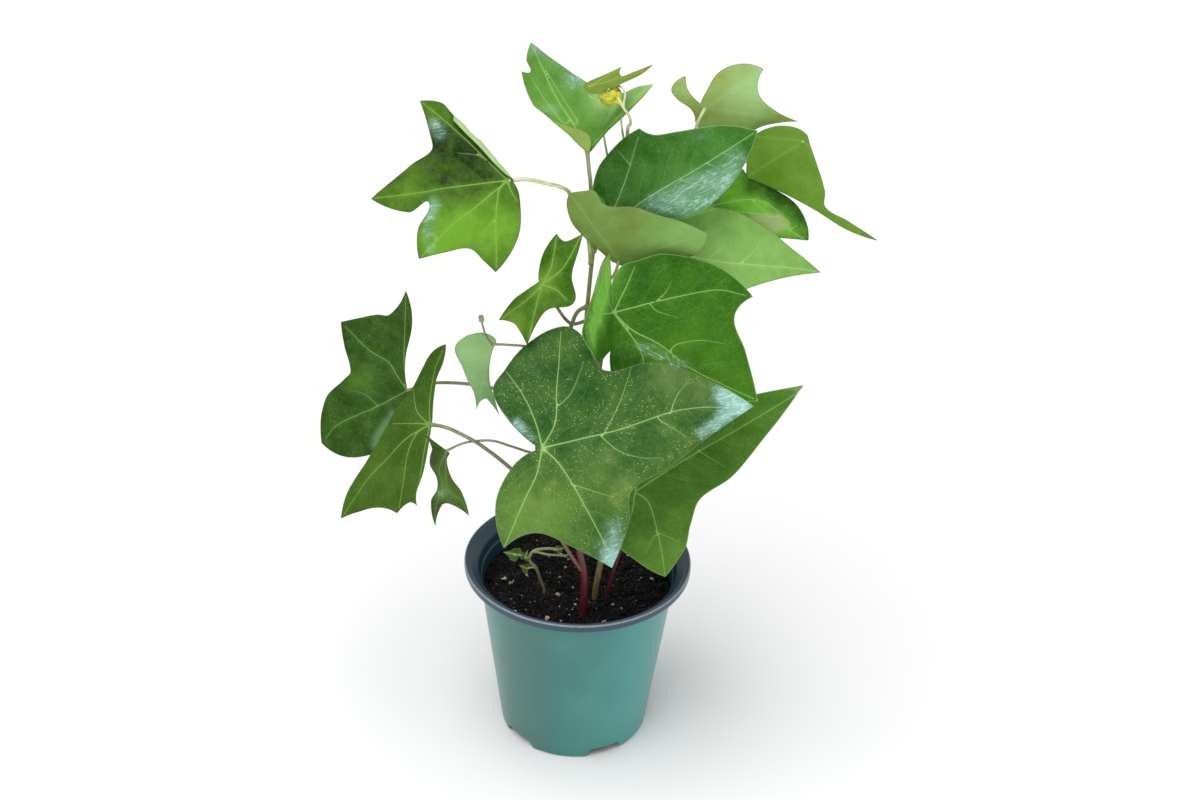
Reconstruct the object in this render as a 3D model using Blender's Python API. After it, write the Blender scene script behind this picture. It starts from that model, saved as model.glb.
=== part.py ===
"""Potted ivy: a nursery pot, its soil, three stems with their petioles, a sprout, leaf blades and a bud.

Metres, +Z up, +X to the right, the front of the plant toward -Y. The frame's origin is the middle of
the pot's underside. The tables below are in millimetres and degrees.
"""
import math

import bmesh
import bpy
from mathutils import Matrix, Vector
from mathutils.geometry import delaunay_2d_cdt

MM = 0.001
GAP = 0.3  # clearance between two nodes that touch
PAST = 1.0  # how far a cutter reaches past the surface that it opens
TIP = "tip"  # marks a sharp point of a leaf's edge

# Nursery pot: wall radii, heights and the rolled lip
POT_HEIGHT = 90.9
LIP_RADIUS = 52.5
LIP_HEIGHT = 3.9
LIP_ROUND = 0.9
LIP_WIDTH = 2.4
LIP_DIP = 0.5
WALL = 1.2
WALL_TOP = (46.6, 86.0)
STEP = (45.4, 82.0)
STEP_OUT = 0.8
WALL_FOOT = (35.2, 1.0)
BASE_RADIUS = 34.4
INNER_FOOT = 2.4
INNER_BEVEL = 1.2
POT_SIDES = 56

# Five recesses under the base, each with a drain hole
RECESS_COUNT = 5
RECESS_FIRST = -64.5
RECESS_WIDTH = 28.0
RECESS_INNER = 27.0
RECESS_HEIGHT = 4.6
ROOF_LAP = 0.6
ROOF_SIDE = 1.5
ROOM_SIDE = 2.6
DRAIN_RADIUS = 2.5
DRAIN_AT = 30.5

SOIL_TOP = 79.0
SOIL_RISE = 1.0
SOIL_FLAT = 24.0
SOIL_SIDES = 40
HOLE_BOTTOM = 64.0
HOLE_GAP = 0.5

LEAF_THICK = 0.7
CREASE_STEPS = 8
ROW_SHARE = 0.87  # height of a triangle's row as a share of its side


class Leaf:
    """A blade: place of its base, way its upper face looks, heading of its midrib, and its edge.

    face is (azimuth, elevation): azimuth 0 looks to the front and 90 to the right. heading turns the
    midrib in the blade's plane: 0 points right and 90 up, seen from the upper face. edge lists
    (angle from the midrib, distance from the base); left of the midrib is positive. A crease is
    (direction, distance from the base, turn, radius), and turns what lies past it toward the upper face.
    """

    def __init__(self, base, face, heading, edge, creases=()):
        self.base = Vector(base)
        self.edge = edge
        self.creases = creases
        azimuth, elevation = math.radians(face[0]), math.radians(face[1])
        self.up = Vector((math.sin(azimuth) * math.cos(elevation),
                          -math.cos(azimuth) * math.cos(elevation), math.sin(elevation)))
        right = Vector((math.cos(azimuth), math.sin(azimuth), 0.0))
        turn = math.radians(heading)
        self.along = right * math.cos(turn) + self.up.cross(right) * math.sin(turn)
        self.across = self.along.cross(self.up)

    def outline(self, steps):
        """Smooth line through the edge's points, with a corner at each tip."""
        points = [polar(item[0], item[1]) for item in self.edge]
        last = len(points) - 1
        corner = [len(item) > 2 or index in (0, last) for index, item in enumerate(self.edge)]
        line = []
        for i in range(last):
            start, end = points[i], points[i + 1]
            chord = end - start
            way = chord.normalized()
            leave = way if corner[i] else (end - points[i - 1]).normalized()
            reach = way if corner[i + 1] else (points[i + 2] - start).normalized()
            if corner[i] and not corner[i + 1]:
                leave = (way * 2 - reach).normalized()
            if corner[i + 1] and not corner[i]:
                reach = (way * 2 - leave).normalized()
            for k in range(steps):
                t = k / steps
                ease = t * t * (3 - 2 * t)
                bow = leave * (t * (1 - t) ** 2) - reach * (t * t * (1 - t))
                line.append(start.lerp(end, ease) + bow * chord.length)
        line.append(points[last])
        return line

    def place(self, flat):
        """Flat point of the blade to its place, through the creases."""
        x, y, z = flat[0], flat[1], 0.0
        for direction, distance, turn, radius in self.creases:
            normal = polar(direction, 1.0)
            past = x * normal.x + y * normal.y - distance
            if past > 0:
                full = math.radians(turn)
                angle = min(past / radius, full)
                beyond = max(past - radius * full, 0.0)
                moved = radius * math.sin(angle) + beyond * math.cos(angle) - z * math.sin(angle)
                z = radius * (1 - math.cos(angle)) + beyond * math.sin(angle) + z * math.cos(angle)
                x += normal.x * (moved - past)
                y += normal.y * (moved - past)
        return self.base + self.across * x + self.along * y + self.up * z

    def normal(self, flat):
        """Direction square to the blade at a flat point, on the upper side."""
        small = 0.05
        here = self.place(flat)
        right = self.place((flat[0] + small, flat[1])) - here
        ahead = self.place((flat[0], flat[1] + small)) - here
        return right.cross(ahead).normalized()


def polar(angle, distance):
    """Flat point at an angle from the midrib, left positive."""
    turn = math.radians(angle)
    return Vector((-distance * math.sin(turn), distance * math.cos(turn)))


LEAVES = {
    "leaf_top": Leaf(
        (-1, 15, 283), (0, 50), 116,
        [(-170, 2), (-90, 11), (-96, 27), (-88, 44, TIP), (-62, 36), (-36, 30), (-20, 35), (0, 57, TIP),
         (6, 50), (8, 44), (12, 46, TIP), (18, 37), (24, 28), (32, 18), (50, 12), (90, 8), (150, 3)],
        [(-142, 0, 55, 3), (112, 0, 160, 1)]),
    "leaf_young": Leaf(
        (-1, 20, 308), (0, 45), 23,
        [(-160, 2), (-70, 4), (-30, 8), (-12, 15), (-6, 22), (0, 28, TIP), (-1, 19), (0, 14),
         (13, 16, TIP), (20, 8), (90, 2), (160, 2)]),
    "leaf_left_top": Leaf(
        (-32, -10, 278), (-10, 35), -167,
        [(-175, 3), (-115, 8), (-72, 27), (-65, 43, TIP), (-55, 44), (-49, 50, TIP), (-37, 37), (-28, 32),
         (-17, 40), (0, 56, TIP), (10, 42), (8, 33), (22, 41), (35, 47, TIP), (43, 38), (55, 30),
         (77, 37, TIP), (95, 24), (119, 8), (160, 2)],
        [(-148, 1.5, 155, 1)]),
    "leaf_pale": Leaf(
        (49, 50, 291), (180, 20), 137,
        [(-195, 7), (-145, 6), (-117, 13), (-103, 18), (-77, 19, TIP), (-88, 12), (-90, 3, TIP), (-50, 8),
         (-33, 20), (-17, 27), (0, 31, TIP), (16, 24), (36, 26), (51, 41, TIP), (60, 28), (85, 22),
         (120, 16), (160, 8)]),
    "leaf_dark": Leaf(
        (8, 18, 248), (-5, 25), 36,
        [(-150, 3), (-40, 12), (-33, 22), (-26, 35), (-20, 46), (-10, 61), (0, 75, TIP), (9, 63), (21, 48),
         (30, 42), (39, 42, TIP), (47, 36), (57, 29), (66, 24), (79, 16, TIP), (110, 12), (160, 3)]),
    "leaf_olive": Leaf(
        (14, 17, 233), (180, 15), 156,
        [(-170, 3), (-120, 14), (-113, 27), (-105, 36), (-98, 41, TIP), (-89, 39), (-84, 38), (-79, 30),
         (-56, 29), (-39, 29), (-18, 33), (0, 40, TIP), (15, 33), (24, 18), (90, 3)]),
    "leaf_light": Leaf(
        (23, 26, 237), (5, 30), -9,
        [(-170, 3), (-90, 14), (-45, 28), (-26, 42), (-12, 52), (-4, 65), (0, 80, TIP), (4, 72), (9, 64),
         (15, 57), (28, 44), (40, 33), (60, 26), (97, 12), (160, 4)]),
    "leaf_back": Leaf(
        (91, 38, 282), (160, 10), -129,
        [(-22, 3), (9, 12), (14, 25), (19, 33), (8, 42), (0, 56, TIP), (11, 46), (27, 34), (60, 28),
         (87, 33, TIP), (109, 25), (125, 20, TIP), (150, 12), (190, 6), (250, 3)]),
    "leaf_shaded": Leaf(
        (51, 44, 248), (0, 30), -18,
        [(-160, 3), (-60, 10), (-30, 20), (-12, 32), (-3, 43), (2, 47, TIP), (10, 44), (22, 39), (34, 31),
         (55, 23), (63, 24, TIP), (58, 18), (46, 10), (120, 5), (160, 2)]),
    "leaf_centre": Leaf(
        (12, -3, 218), (5, 30), -32,
        [(-231, 3), (-233, 14), (-235, 25, TIP), (-196, 21), (-155, 25), (-138, 32), (-131, 37), (-107, 30),
         (-93, 27, TIP), (-68, 15), (-58, 30), (-45, 44, TIP), (-20, 50), (0, 72, TIP), (15, 58), (30, 51),
         (38, 59, TIP), (56, 48), (80, 33), (97, 24), (110, 20), (122, 12), (126, 3)],
        [(-148, 0, 64, 2)]),
    "leaf_front": Leaf(
        (-16, -42, 174), (0, 35), 13,
        [(-171, 3), (-160, 15), (-142, 30), (-122, 44, TIP), (-106, 35), (-85, 42), (-71, 58, TIP), (-52, 47),
         (-37, 41), (-20, 53), (-8, 68), (0, 90, TIP), (14, 71), (27, 57), (41, 41), (58, 49), (70, 52),
         (88, 43), (106, 35), (119, 30), (128, 17), (150, 3)]),
    "leaf_low": Leaf(
        (24, -22, 141), (10, 35), 27,
        [(-165, 4), (-145, 22), (-122, 29), (-100, 40, TIP), (-80, 33), (-60, 28), (-38, 30), (-22, 44),
         (-8, 63), (0, 90, TIP), (6, 70), (14, 56), (30, 38), (52, 36, TIP), (75, 28), (110, 18), (150, 4)]),
    "leaf_left_dark": Leaf(
        (-78, 11, 170), (-15, 35), 145,
        [(-30, 2), (-40, 14), (-48, 31), (-43, 45, TIP), (-29, 37), (-12, 40), (0, 44, TIP), (10, 35),
         (26, 28), (50, 38), (75, 44, TIP), (95, 38), (120, 24), (150, 8), (170, 3)]),
    "leaf_left_low": Leaf(
        (-65, -15, 168), (-40, 35), -115,
        [(-150, 3), (-131, 19), (-138, 35, TIP), (-125, 33), (-115, 27), (-90, 20), (-50, 22), (-20, 34),
         (-8, 50), (0, 59, TIP), (8, 46), (18, 40), (29, 39, TIP), (36, 33), (42, 33, TIP), (38, 30),
         (42, 22), (44, 12), (60, 3)]),
    "leaf_small_pale": Leaf(
        (-38, -15, 207.5), (180, 10), -79,
        [(-150, 2), (-2, 9), (-6, 20), (-11, 28), (-14, 38, TIP), (-9, 32), (-3, 29), (0, 35, TIP), (6, 26),
         (17, 22), (35, 18), (70, 16), (95, 12), (125, 8), (143, 6), (151, 15, TIP), (163, 5), (190, 3)]),
    "leaf_small_middle": Leaf(
        (-18, -5, 231), (-20, 35), -129,
        [(-66, 2), (-19, 8), (-12, 14), (0, 23, TIP), (14, 19), (26, 21), (38, 24, TIP), (45, 15), (66, 10),
         (110, 15), (157, 12), (184, 21), (192, 27, TIP), (199, 20), (205, 18), (216, 22, TIP), (229, 14),
         (243, 7), (280, 2)]),
    "leaf_small_low": Leaf(
        (-58, -20, 158), (0, 0), -74,
        [(-104, 2), (-88, 7), (-60, 10), (-34, 14), (-28, 20), (-31, 27), (-24, 39, TIP), (-21, 28),
         (-14, 27), (0, 34, TIP), (1, 22), (-7, 14), (-14, 5), (40, 2)]),
}

LEAF_COLOURS = {
    "leaf_top": (0.14, 0.33, 0.08),
    "leaf_young": (0.20, 0.30, 0.02),
    "leaf_left_top": (0.08, 0.22, 0.02),
    "leaf_pale": (0.36, 0.50, 0.17),
    "leaf_dark": (0.05, 0.18, 0.04),
    "leaf_olive": (0.22, 0.32, 0.09),
    "leaf_light": (0.19, 0.40, 0.12),
    "leaf_back": (0.16, 0.33, 0.05),
    "leaf_shaded": (0.03, 0.12, 0.01),
    "leaf_centre": (0.06, 0.21, 0.02),
    "leaf_front": (0.05, 0.17, 0.04),
    "leaf_low": (0.06, 0.20, 0.02),
    "leaf_left_dark": (0.04, 0.13, 0.01),
    "leaf_left_low": (0.07, 0.17, 0.02),
    "leaf_small_pale": (0.20, 0.37, 0.13),
    "leaf_small_middle": (0.07, 0.18, 0.02),
    "leaf_small_low": (0.11, 0.22, 0.04),
}

# Each branch: its points in mm, its radii at the two ends, and the leaf that it ends at, if any
STEMS = {
    "stem_tall": [
        ([(3, -29, HOLE_BOTTOM + GAP), (3, -29, 81), (3, -28, 100), (0, -25, 116), (-3, -14, 147),
          (-2, -2, 177), (0.5, 6, 205), (1, 9, 215), (3, 18, 239), (6, 28, 252), (11, 37, 261),
          (16, 42, 270), (16, 42, 281), (16, 37, 286), (16.5, 28, 290), (16.5, 20, 294), (15.5, 12.5, 299),
          (13, 10.5, 303), (11.5, 14, 304.5), (11, 17.5, 304.5)], (1.3, 0.7), None),
        ([(2.5, 17, 236), (2, 17.5, 246), (1, 15, 266), (0, 14, 275)], (0.9, 0.8), "leaf_top"),
        ([(13, 10.5, 303), (8, 12.5, 307), (3, 16, 307.5)], (0.5, 0.5), "leaf_young"),
        ([(10, 35, 259), (8, 40, 270), (6, 38, 281), (5, 38, 290)], (0.7, 0.5), None),
        ([(16, 42, 272), (18.5, 42, 282), (20, 38, 290), (19.5, 34, 297)], (0.7, 0.5), None),
        ([(2, 15, 232), (0, 17.5, 245), (-5, 14, 257), (-8, 13, 265), (-12, 9, 269), (-17, 4, 272),
          (-25, -5, 277)], (0.8, 0.7), "leaf_left_top"),
        ([(7, 30, 254), (18, 38, 259), (32, 43, 266), (43, 46, 278), (46, 46, 286)], (0.8, 0.7), "leaf_pale"),
        ([(3, 17, 237), (6, 24, 242.5)], (0.9, 0.8), "leaf_dark"),
        ([(1, 7, 209), (-6, 0, 211), (-12, -3, 220), (-16, -3, 227)], (0.8, 0.6), "leaf_small_middle"),
        ([(1, 9, 215), (-4, 4, 213), (-8, -8, 202), (-13, -24, 182), (-16, -37, 171)], (0.9, 0.8),
         "leaf_front"),
        ([(-1, 1, 184), (-11, -8, 198), (-22, -12, 205), (-32, -14, 207)], (0.7, 0.5), "leaf_small_pale"),
        ([(-2, -6, 167), (-16, -7, 178), (-36, -2, 179), (-50, 4, 178), (-64, 9, 175.5), (-71, 12, 172)],
         (0.8, 0.7), "leaf_left_dark"),
        ([(2, -28, 103), (-3, -27, 110), (-10, -25, 123), (-19, -22, 140), (-30, -21, 153), (-43, -18, 162),
          (-54, -14, 165), (-60, -12, 165)], (0.9, 0.8), "leaf_left_low"),
        ([(-3, -13, 149), (-12, -17, 155), (-21, -18, 157), (-30, -18, 160), (-39, -17, 162),
          (-50, -16, 160)], (0.6, 0.5), "leaf_small_low"),
    ],
    "stem_right": [
        ([(8.5, -14, HOLE_BOTTOM + GAP), (8.5, -14, 81), (10, -13, 94), (13, -11, 117), (13.5, -7, 142),
          (12, -2, 164), (8, -1, 184), (3, -0.5, 205), (3.5, 4, 218), (6, 12, 228), (9, 22, 232),
          (17, 32, 233)], (1.1, 0.9), "leaf_light"),
        ([(3.5, 3, 216), (7, 8, 223), (12, 12, 229)], (0.7, 0.6), "leaf_olive"),
        ([(7, -1, 189), (9, 2, 202), (11, 5, 210)], (0.8, 0.7), "leaf_centre"),
        ([(9, 22, 232), (14, 34, 232), (26, 44, 236), (42, 51, 242)], (0.8, 0.7), "leaf_shaded"),
        ([(14, 34, 232), (30, 54, 246), (56, 63, 258), (78, 56, 268), (88, 47, 277)], (0.8, 0.6),
         "leaf_back"),
    ],
    "stem_thin": [
        ([(14, -15, HOLE_BOTTOM + GAP), (14, -15, 81), (16, -14, 91), (20, -12, 108), (23, -12, 126)],
         (0.9, 0.8), "leaf_low"),
    ],
    "sprout": [
        ([(-15, -12, HOLE_BOTTOM + GAP), (-15, -12, 79), (-17, -12, 86), (-19, -13, 93), (-22, -14, 98),
          (-20, -14, 103), (-14, -14, 104.5), (-9, -14, 104)], (0.9, 0.6), None),
        ([(-20, -14, 103), (-14, -15, 102), (-9, -14, 101), (-5, -13, 100)], (0.6, 0.5), None),
        ([(-22, -14, 98), (-25, -15, 101), (-29, -16, 102)], (0.6, 0.5), None),
        ([(-19, -13, 93), (-21, -14, 94), (-23, -14, 93)], (0.5, 0.4), None),
    ],
}

STEM_COLOURS = {
    "stem_tall": (0.22, 0.20, 0.08),
    "stem_right": (0.30, 0.26, 0.12),
    "stem_thin": (0.16, 0.03, 0.04),
    "sprout": (0.20, 0.22, 0.07),
}

# Small blades that grow from the sprout: base, face, heading and size
SPROUT_LEAVES = [
    ((-28, -16, 102), (-10, 60), 175, 8.0),
    ((-23, -14, 93), (10, 40), 150, 5.0),
    ((-9, -14, 104), (0, 50), 20, 4.0),
]
SPROUT_EDGE = [(-160, 0.1), (-110, 0.5), (-60, 0.55), (-35, 0.5), (0, 1.0, TIP), (35, 0.5), (60, 0.55),
               (110, 0.5), (160, 0.1)]

BUD_AT = Vector((8, 22, 304.5))
BUD_SIZE = (5.0, 3.2, 3.0)
BUD_LEAVES = [((-20, 30), 165, 9.0), ((20, 60), 60, 7.0), ((0, 40), -40, 8.0)]


def clear_scene():
    for item in list(bpy.data.objects):
        bpy.data.objects.remove(item, do_unlink=True)


def make_material(name, colour, roughness):
    material = bpy.data.materials.new(name)
    material.use_nodes = True
    shader = material.node_tree.nodes["Principled BSDF"]
    shader.inputs["Base Color"].default_value = (*colour, 1.0)
    shader.inputs["Roughness"].default_value = roughness
    shader.inputs["Metallic"].default_value = 0.0
    return material


def make_object(name, points, faces, colour=None, roughness=0.5):
    """Object from points in mm, its faces turned outward."""
    mesh = bpy.data.meshes.new(name)
    mesh.from_pydata([Vector(point) * MM for point in points], [], faces)
    work = bmesh.new()
    work.from_mesh(mesh)
    bmesh.ops.recalc_face_normals(work, faces=work.faces)
    work.to_mesh(mesh)
    work.free()
    item = bpy.data.objects.new(name, mesh)
    bpy.context.collection.objects.link(item)
    if colour:
        mesh.materials.append(make_material(name, colour, roughness))
    return item


def lathe(name, profile, sides, colour=None, roughness=0.5):
    """Solid of revolution about Z from (radius, height) pairs; a radius of 0 closes on the axis."""
    points, rings, faces = [], [], []
    for radius, height in profile:
        count = 1 if radius == 0 else sides
        rings.append([len(points) + k for k in range(count)])
        for k in range(count):
            turn = 2 * math.pi * k / sides
            points.append((radius * math.cos(turn), radius * math.sin(turn), height))
    for low, high in zip(rings, rings[1:]):
        for k in range(sides):
            corners = [low[k % len(low)], low[(k + 1) % len(low)],
                       high[(k + 1) % len(high)], high[k % len(high)]]
            faces.append(list(dict.fromkeys(corners)))
    return make_object(name, points, faces, colour, roughness)


def sector(name, inner, outer, middle, width, low, high):
    """Block between two radii and two heights, spread about a direction."""
    steps = 4
    points, faces = [], []
    for radius, height in ((inner, low), (outer, low), (outer, high), (inner, high)):
        for k in range(steps + 1):
            turn = math.radians(middle + width * (k / steps - 0.5))
            points.append((radius * math.cos(turn), radius * math.sin(turn), height))
    ring = steps + 1
    for side in range(4):
        following = (side + 1) % 4
        for k in range(steps):
            faces.append([side * ring + k, side * ring + k + 1,
                          following * ring + k + 1, following * ring + k])
    faces.append([side * ring for side in range(4)])
    faces.append([side * ring + steps for side in range(4)])
    return make_object(name, points, faces)


def post(name, x, y, radius, low, high, sides=12):
    """Upright round post, used as a cutter."""
    item = lathe(name, [(0, low), (radius, low), (radius, high), (0, high)], sides)
    item.data.transform(Matrix.Translation((x * MM, y * MM, 0)))
    return item


def combine(item, others, operation):
    """One Boolean of an object with a collection of others, applied; the others are removed."""
    helpers = bpy.data.collections.new(item.name + "_helpers")
    for other in others:
        helpers.objects.link(other)
    modifier = item.modifiers.new(operation.lower(), "BOOLEAN")
    modifier.operation = operation
    modifier.operand_type = "COLLECTION"
    modifier.collection = helpers
    modifier.solver = "EXACT"
    shape = bpy.data.meshes.new_from_object(item.evaluated_get(bpy.context.evaluated_depsgraph_get()))
    item.modifiers.remove(modifier)
    item.data = shape
    for other in others:
        bpy.data.objects.remove(other, do_unlink=True)
    bpy.data.collections.remove(helpers)


def inner_radius(height):
    """Radius of the pot's inner wall below the step."""
    slope = (STEP[0] - WALL_FOOT[0]) / (STEP[1] - WALL_FOOT[1])
    return WALL_FOOT[0] + slope * (height - WALL_FOOT[1]) - WALL


def recess_directions():
    return [RECESS_FIRST + 360 / RECESS_COUNT * k for k in range(RECESS_COUNT)]


def build_pot():
    lip_low = POT_HEIGHT - LIP_HEIGHT
    profile = [
        (0, 0), (BASE_RADIUS, 0), WALL_FOOT, STEP, (STEP[0] + STEP_OUT, STEP[1] + STEP_OUT), WALL_TOP,
        (LIP_RADIUS - LIP_ROUND, lip_low), (LIP_RADIUS, lip_low + LIP_ROUND),
        (LIP_RADIUS, POT_HEIGHT - LIP_ROUND), (LIP_RADIUS - LIP_ROUND, POT_HEIGHT),
        (LIP_RADIUS - LIP_WIDTH, POT_HEIGHT - LIP_DIP), (WALL_TOP[0] - WALL + LIP_DIP, WALL_TOP[1] + LIP_DIP),
        (STEP[0] + STEP_OUT - WALL, STEP[1] + STEP_OUT), (inner_radius(STEP[1]), STEP[1]),
        (inner_radius(INNER_FOOT), INNER_FOOT), (inner_radius(INNER_FOOT) - INNER_BEVEL, WALL), (0, WALL)]
    pot = lathe("pot", profile, POT_SIDES, (0.08, 0.26, 0.21), 0.45)
    roofs = [sector("roof", RECESS_INNER - WALL, inner_radius(RECESS_HEIGHT) + ROOF_LAP, middle,
                    RECESS_WIDTH + 2 * ROOF_SIDE, WALL / 2, RECESS_HEIGHT + WALL)
             for middle in recess_directions()]
    combine(pot, roofs, "UNION")
    cutters = []
    for middle in recess_directions():
        cutters.append(sector("recess", RECESS_INNER, LIP_RADIUS, middle, RECESS_WIDTH, -PAST, RECESS_HEIGHT))
        turn = math.radians(middle)
        cutters.append(post("drain", DRAIN_AT * math.cos(turn), DRAIN_AT * math.sin(turn), DRAIN_RADIUS,
                            RECESS_HEIGHT - PAST, RECESS_HEIGHT + WALL + PAST))
    combine(pot, cutters, "DIFFERENCE")
    return pot


def build_soil():
    low = WALL + GAP
    foot = INNER_FOOT + GAP
    profile = [(0, low), (inner_radius(foot) - INNER_BEVEL - GAP, low), (inner_radius(foot) - GAP, foot),
               (inner_radius(SOIL_TOP) - GAP, SOIL_TOP - SOIL_RISE), (SOIL_FLAT, SOIL_TOP), (0, SOIL_TOP)]
    soil = lathe("soil", profile, SOIL_SIDES, (0.012, 0.010, 0.009), 0.95)
    cutters = []
    for middle in recess_directions():
        cutters.append(sector("room", RECESS_INNER - WALL - GAP, LIP_RADIUS, middle,
                              RECESS_WIDTH + 2 * ROOM_SIDE, -PAST, RECESS_HEIGHT + WALL + GAP))
    for branches in STEMS.values():
        foot_point, radius = branches[0][0][0], branches[0][1][0]
        cutters.append(post("stem_hole", foot_point[0], foot_point[1], radius + HOLE_GAP, HOLE_BOTTOM,
                            SOIL_TOP + PAST))
    combine(soil, cutters, "DIFFERENCE")
    return soil


def smooth_path(points, steps):
    """Catmull-Rom line through the points."""
    points = [Vector(point) for point in points]
    ends = [points[0] * 2 - points[1]] + points + [points[-1] * 2 - points[-2]]
    line = []
    for a, b, c, d in zip(ends, ends[1:], ends[2:], ends[3:]):
        for k in range(steps):
            t = k / steps
            line.append(0.5 * (2 * b + (c - a) * t + (2 * a - 5 * b + 4 * c - d) * t ** 2
                               + (3 * b - a - 3 * c + d) * t ** 3))
    line.append(points[-1])
    return line


def tube(name, points, radii, sides, steps=2):
    """Closed round tube along a smooth line, its radius going evenly from one end to the other."""
    line = smooth_path(points, steps)
    side = Vector((1, 0, 0))
    rings, faces = [], []
    for i, point in enumerate(line):
        way = (line[min(i + 1, len(line) - 1)] - line[max(i - 1, 0)]).normalized()
        side = (side - way * side.dot(way)).normalized()
        other = way.cross(side)
        radius = radii[0] + (radii[1] - radii[0]) * i / (len(line) - 1)
        for k in range(sides):
            turn = 2 * math.pi * k / sides
            rings.append(point + side * (radius * math.cos(turn)) + other * (radius * math.sin(turn)))
    for i in range(len(line) - 1):
        for k in range(sides):
            following = (k + 1) % sides
            faces.append([i * sides + k, i * sides + following,
                          (i + 1) * sides + following, (i + 1) * sides + k])
    faces.append(list(range(sides)))
    faces.append([(len(line) - 1) * sides + k for k in range(sides)])
    return make_object(name, rings, faces)


def petiole_end(leaf, before, radius):
    """End of a petiole, just clear of the blade on the side that the petiole comes from."""
    came = leaf.base - Vector(before)
    lean = came.normalized().dot(leaf.up)
    reach = LEAF_THICK / 2 + GAP + 0.1 + radius * math.sqrt(max(1 - lean * lean, 0.0))
    return leaf.base - leaf.up * math.copysign(reach, came.dot(leaf.up))


def build_stem(name):
    tubes = []
    for number, (points, radii, leaf_name) in enumerate(STEMS[name]):
        points = [Vector(point) for point in points]
        if leaf_name:
            points.append(petiole_end(LEAVES[leaf_name], points[-1], radii[1]))
        sides = 8 if number == 0 else 6
        tubes.append(tube(name, points, radii, sides))
    if name == "sprout":
        for base, face, heading, size in SPROUT_LEAVES:
            edge = [(item[0], item[1] * size, *item[2:]) for item in SPROUT_EDGE]
            tubes.append(build_blade("sprout_leaf", Leaf(base, face, heading, edge), None, size * 0.4))
    stem = tubes[0]
    stem.name = name
    stem.data.materials.append(make_material(name, STEM_COLOURS[name], 0.5))
    if tubes[1:]:
        combine(stem, tubes[1:], "UNION")
    return stem


def inside(point, line):
    """True where a flat point lies inside a closed line."""
    within = False
    for a, b in zip(line, line[1:] + line[:1]):
        if (a.y > point.y) != (b.y > point.y):
            if point.x < a.x + (point.y - a.y) / (b.y - a.y) * (b.x - a.x):
                within = not within
    return within


def clear_of(point, line, distance):
    """True where a flat point keeps its distance from a closed line."""
    for a, b in zip(line, line[1:] + line[:1]):
        chord = b - a
        t = min(max((point - a).dot(chord) / chord.length_squared, 0.0), 1.0)
        if (a + chord * t - point).length < distance:
            return False
    return True


def inner_points(leaf, line, spacing):
    """Points inside the edge: rows along each crease, then an even grid clear of those rows."""
    reach = max(item[1] for item in leaf.edge)
    rows = []
    for direction, distance, turn, radius in leaf.creases:
        normal = polar(direction, 1.0)
        along = polar(direction + 90, 1.0)
        bend = radius * math.radians(turn)
        for share in (0.0, 0.5, 1.0):
            for k in range(-CREASE_STEPS, CREASE_STEPS + 1):
                rows.append(normal * (distance + bend * share) + along * (reach * k / CREASE_STEPS))
    grid = []
    count = int(reach / spacing) + 1
    for j in range(-count, count + 1):
        for i in range(-count, count + 1):
            point = Vector(((i + 0.5 * (j % 2)) * spacing, j * spacing * ROW_SHARE))
            if all((point - other).length > spacing * 0.45 for other in rows):
                grid.append(point)
    return [point for point in rows + grid if inside(point, line) and clear_of(point, line, spacing * 0.22)]


def build_blade(name, leaf, colour, spacing=None, steps=2):
    """Closed thin blade: the same triangles on the upper and lower face, and a strip around the edge."""
    spacing = spacing or max(item[1] for item in leaf.edge) / 5
    line = leaf.outline(steps)
    flat = line + inner_points(leaf, line, spacing)
    loop = list(range(len(line)))
    result = delaunay_2d_cdt(flat, [], [loop], 1, 1e-5)
    flat, triangles = result[0], result[2]
    upper = [leaf.place(point) + leaf.normal(point) * (LEAF_THICK / 2) for point in flat]
    lower = [leaf.place(point) - leaf.normal(point) * (LEAF_THICK / 2) for point in flat]
    count = len(flat)
    faces = [list(triangle) for triangle in triangles]
    faces += [[corner + count for corner in reversed(triangle)] for triangle in triangles]
    sides = {}
    for triangle in triangles:
        for a, b in zip(triangle, triangle[1:] + triangle[:1]):
            sides[(a, b)] = True
    for a, b in list(sides):
        if (b, a) not in sides:
            faces.append([b, a, a + count])
            faces.append([b, a + count, b + count])
    return make_object(name, upper + lower, faces, colour, 0.4)


def build_bud():
    """Growing tip: a small round core with folded young leaves."""
    core = lathe("bud", [(0, -1), (0.7, -0.7), (1, 0), (0.7, 0.7), (0, 1)], 10, (0.50, 0.50, 0.03), 0.5)
    core.data.transform(Matrix.Diagonal((*BUD_SIZE, 1.0)))
    core.data.transform(Matrix.Translation(BUD_AT * MM))
    leaves = []
    for face, heading, size in BUD_LEAVES:
        edge = [(item[0], item[1] * size, *item[2:]) for item in SPROUT_EDGE]
        leaves.append(build_blade("bud_leaf", Leaf(BUD_AT, face, heading, edge), None, size * 0.4))
    combine(core, leaves, "UNION")
    return core


def main():
    clear_scene()
    build_pot()
    build_soil()
    for name in STEMS:
        build_stem(name)
    for name, leaf in LEAVES.items():
        build_blade(name, leaf, LEAF_COLOURS[name])
    build_bud()


main()
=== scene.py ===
"""Looks of the potted ivy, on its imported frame.

The tables of leaves, stems and pot follow those of the part's source, in millimetres and degrees, so that
each detailed piece lies where its solid is. Some outlines are finer here, by up to about 3 mm. Azimuth 0
is the front of the plant and 90 its right.
"""

import math
from dataclasses import dataclass

import bpy
import numpy as np
from mathutils import Matrix, Vector
from mathutils.geometry import delaunay_2d_cdt


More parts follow.
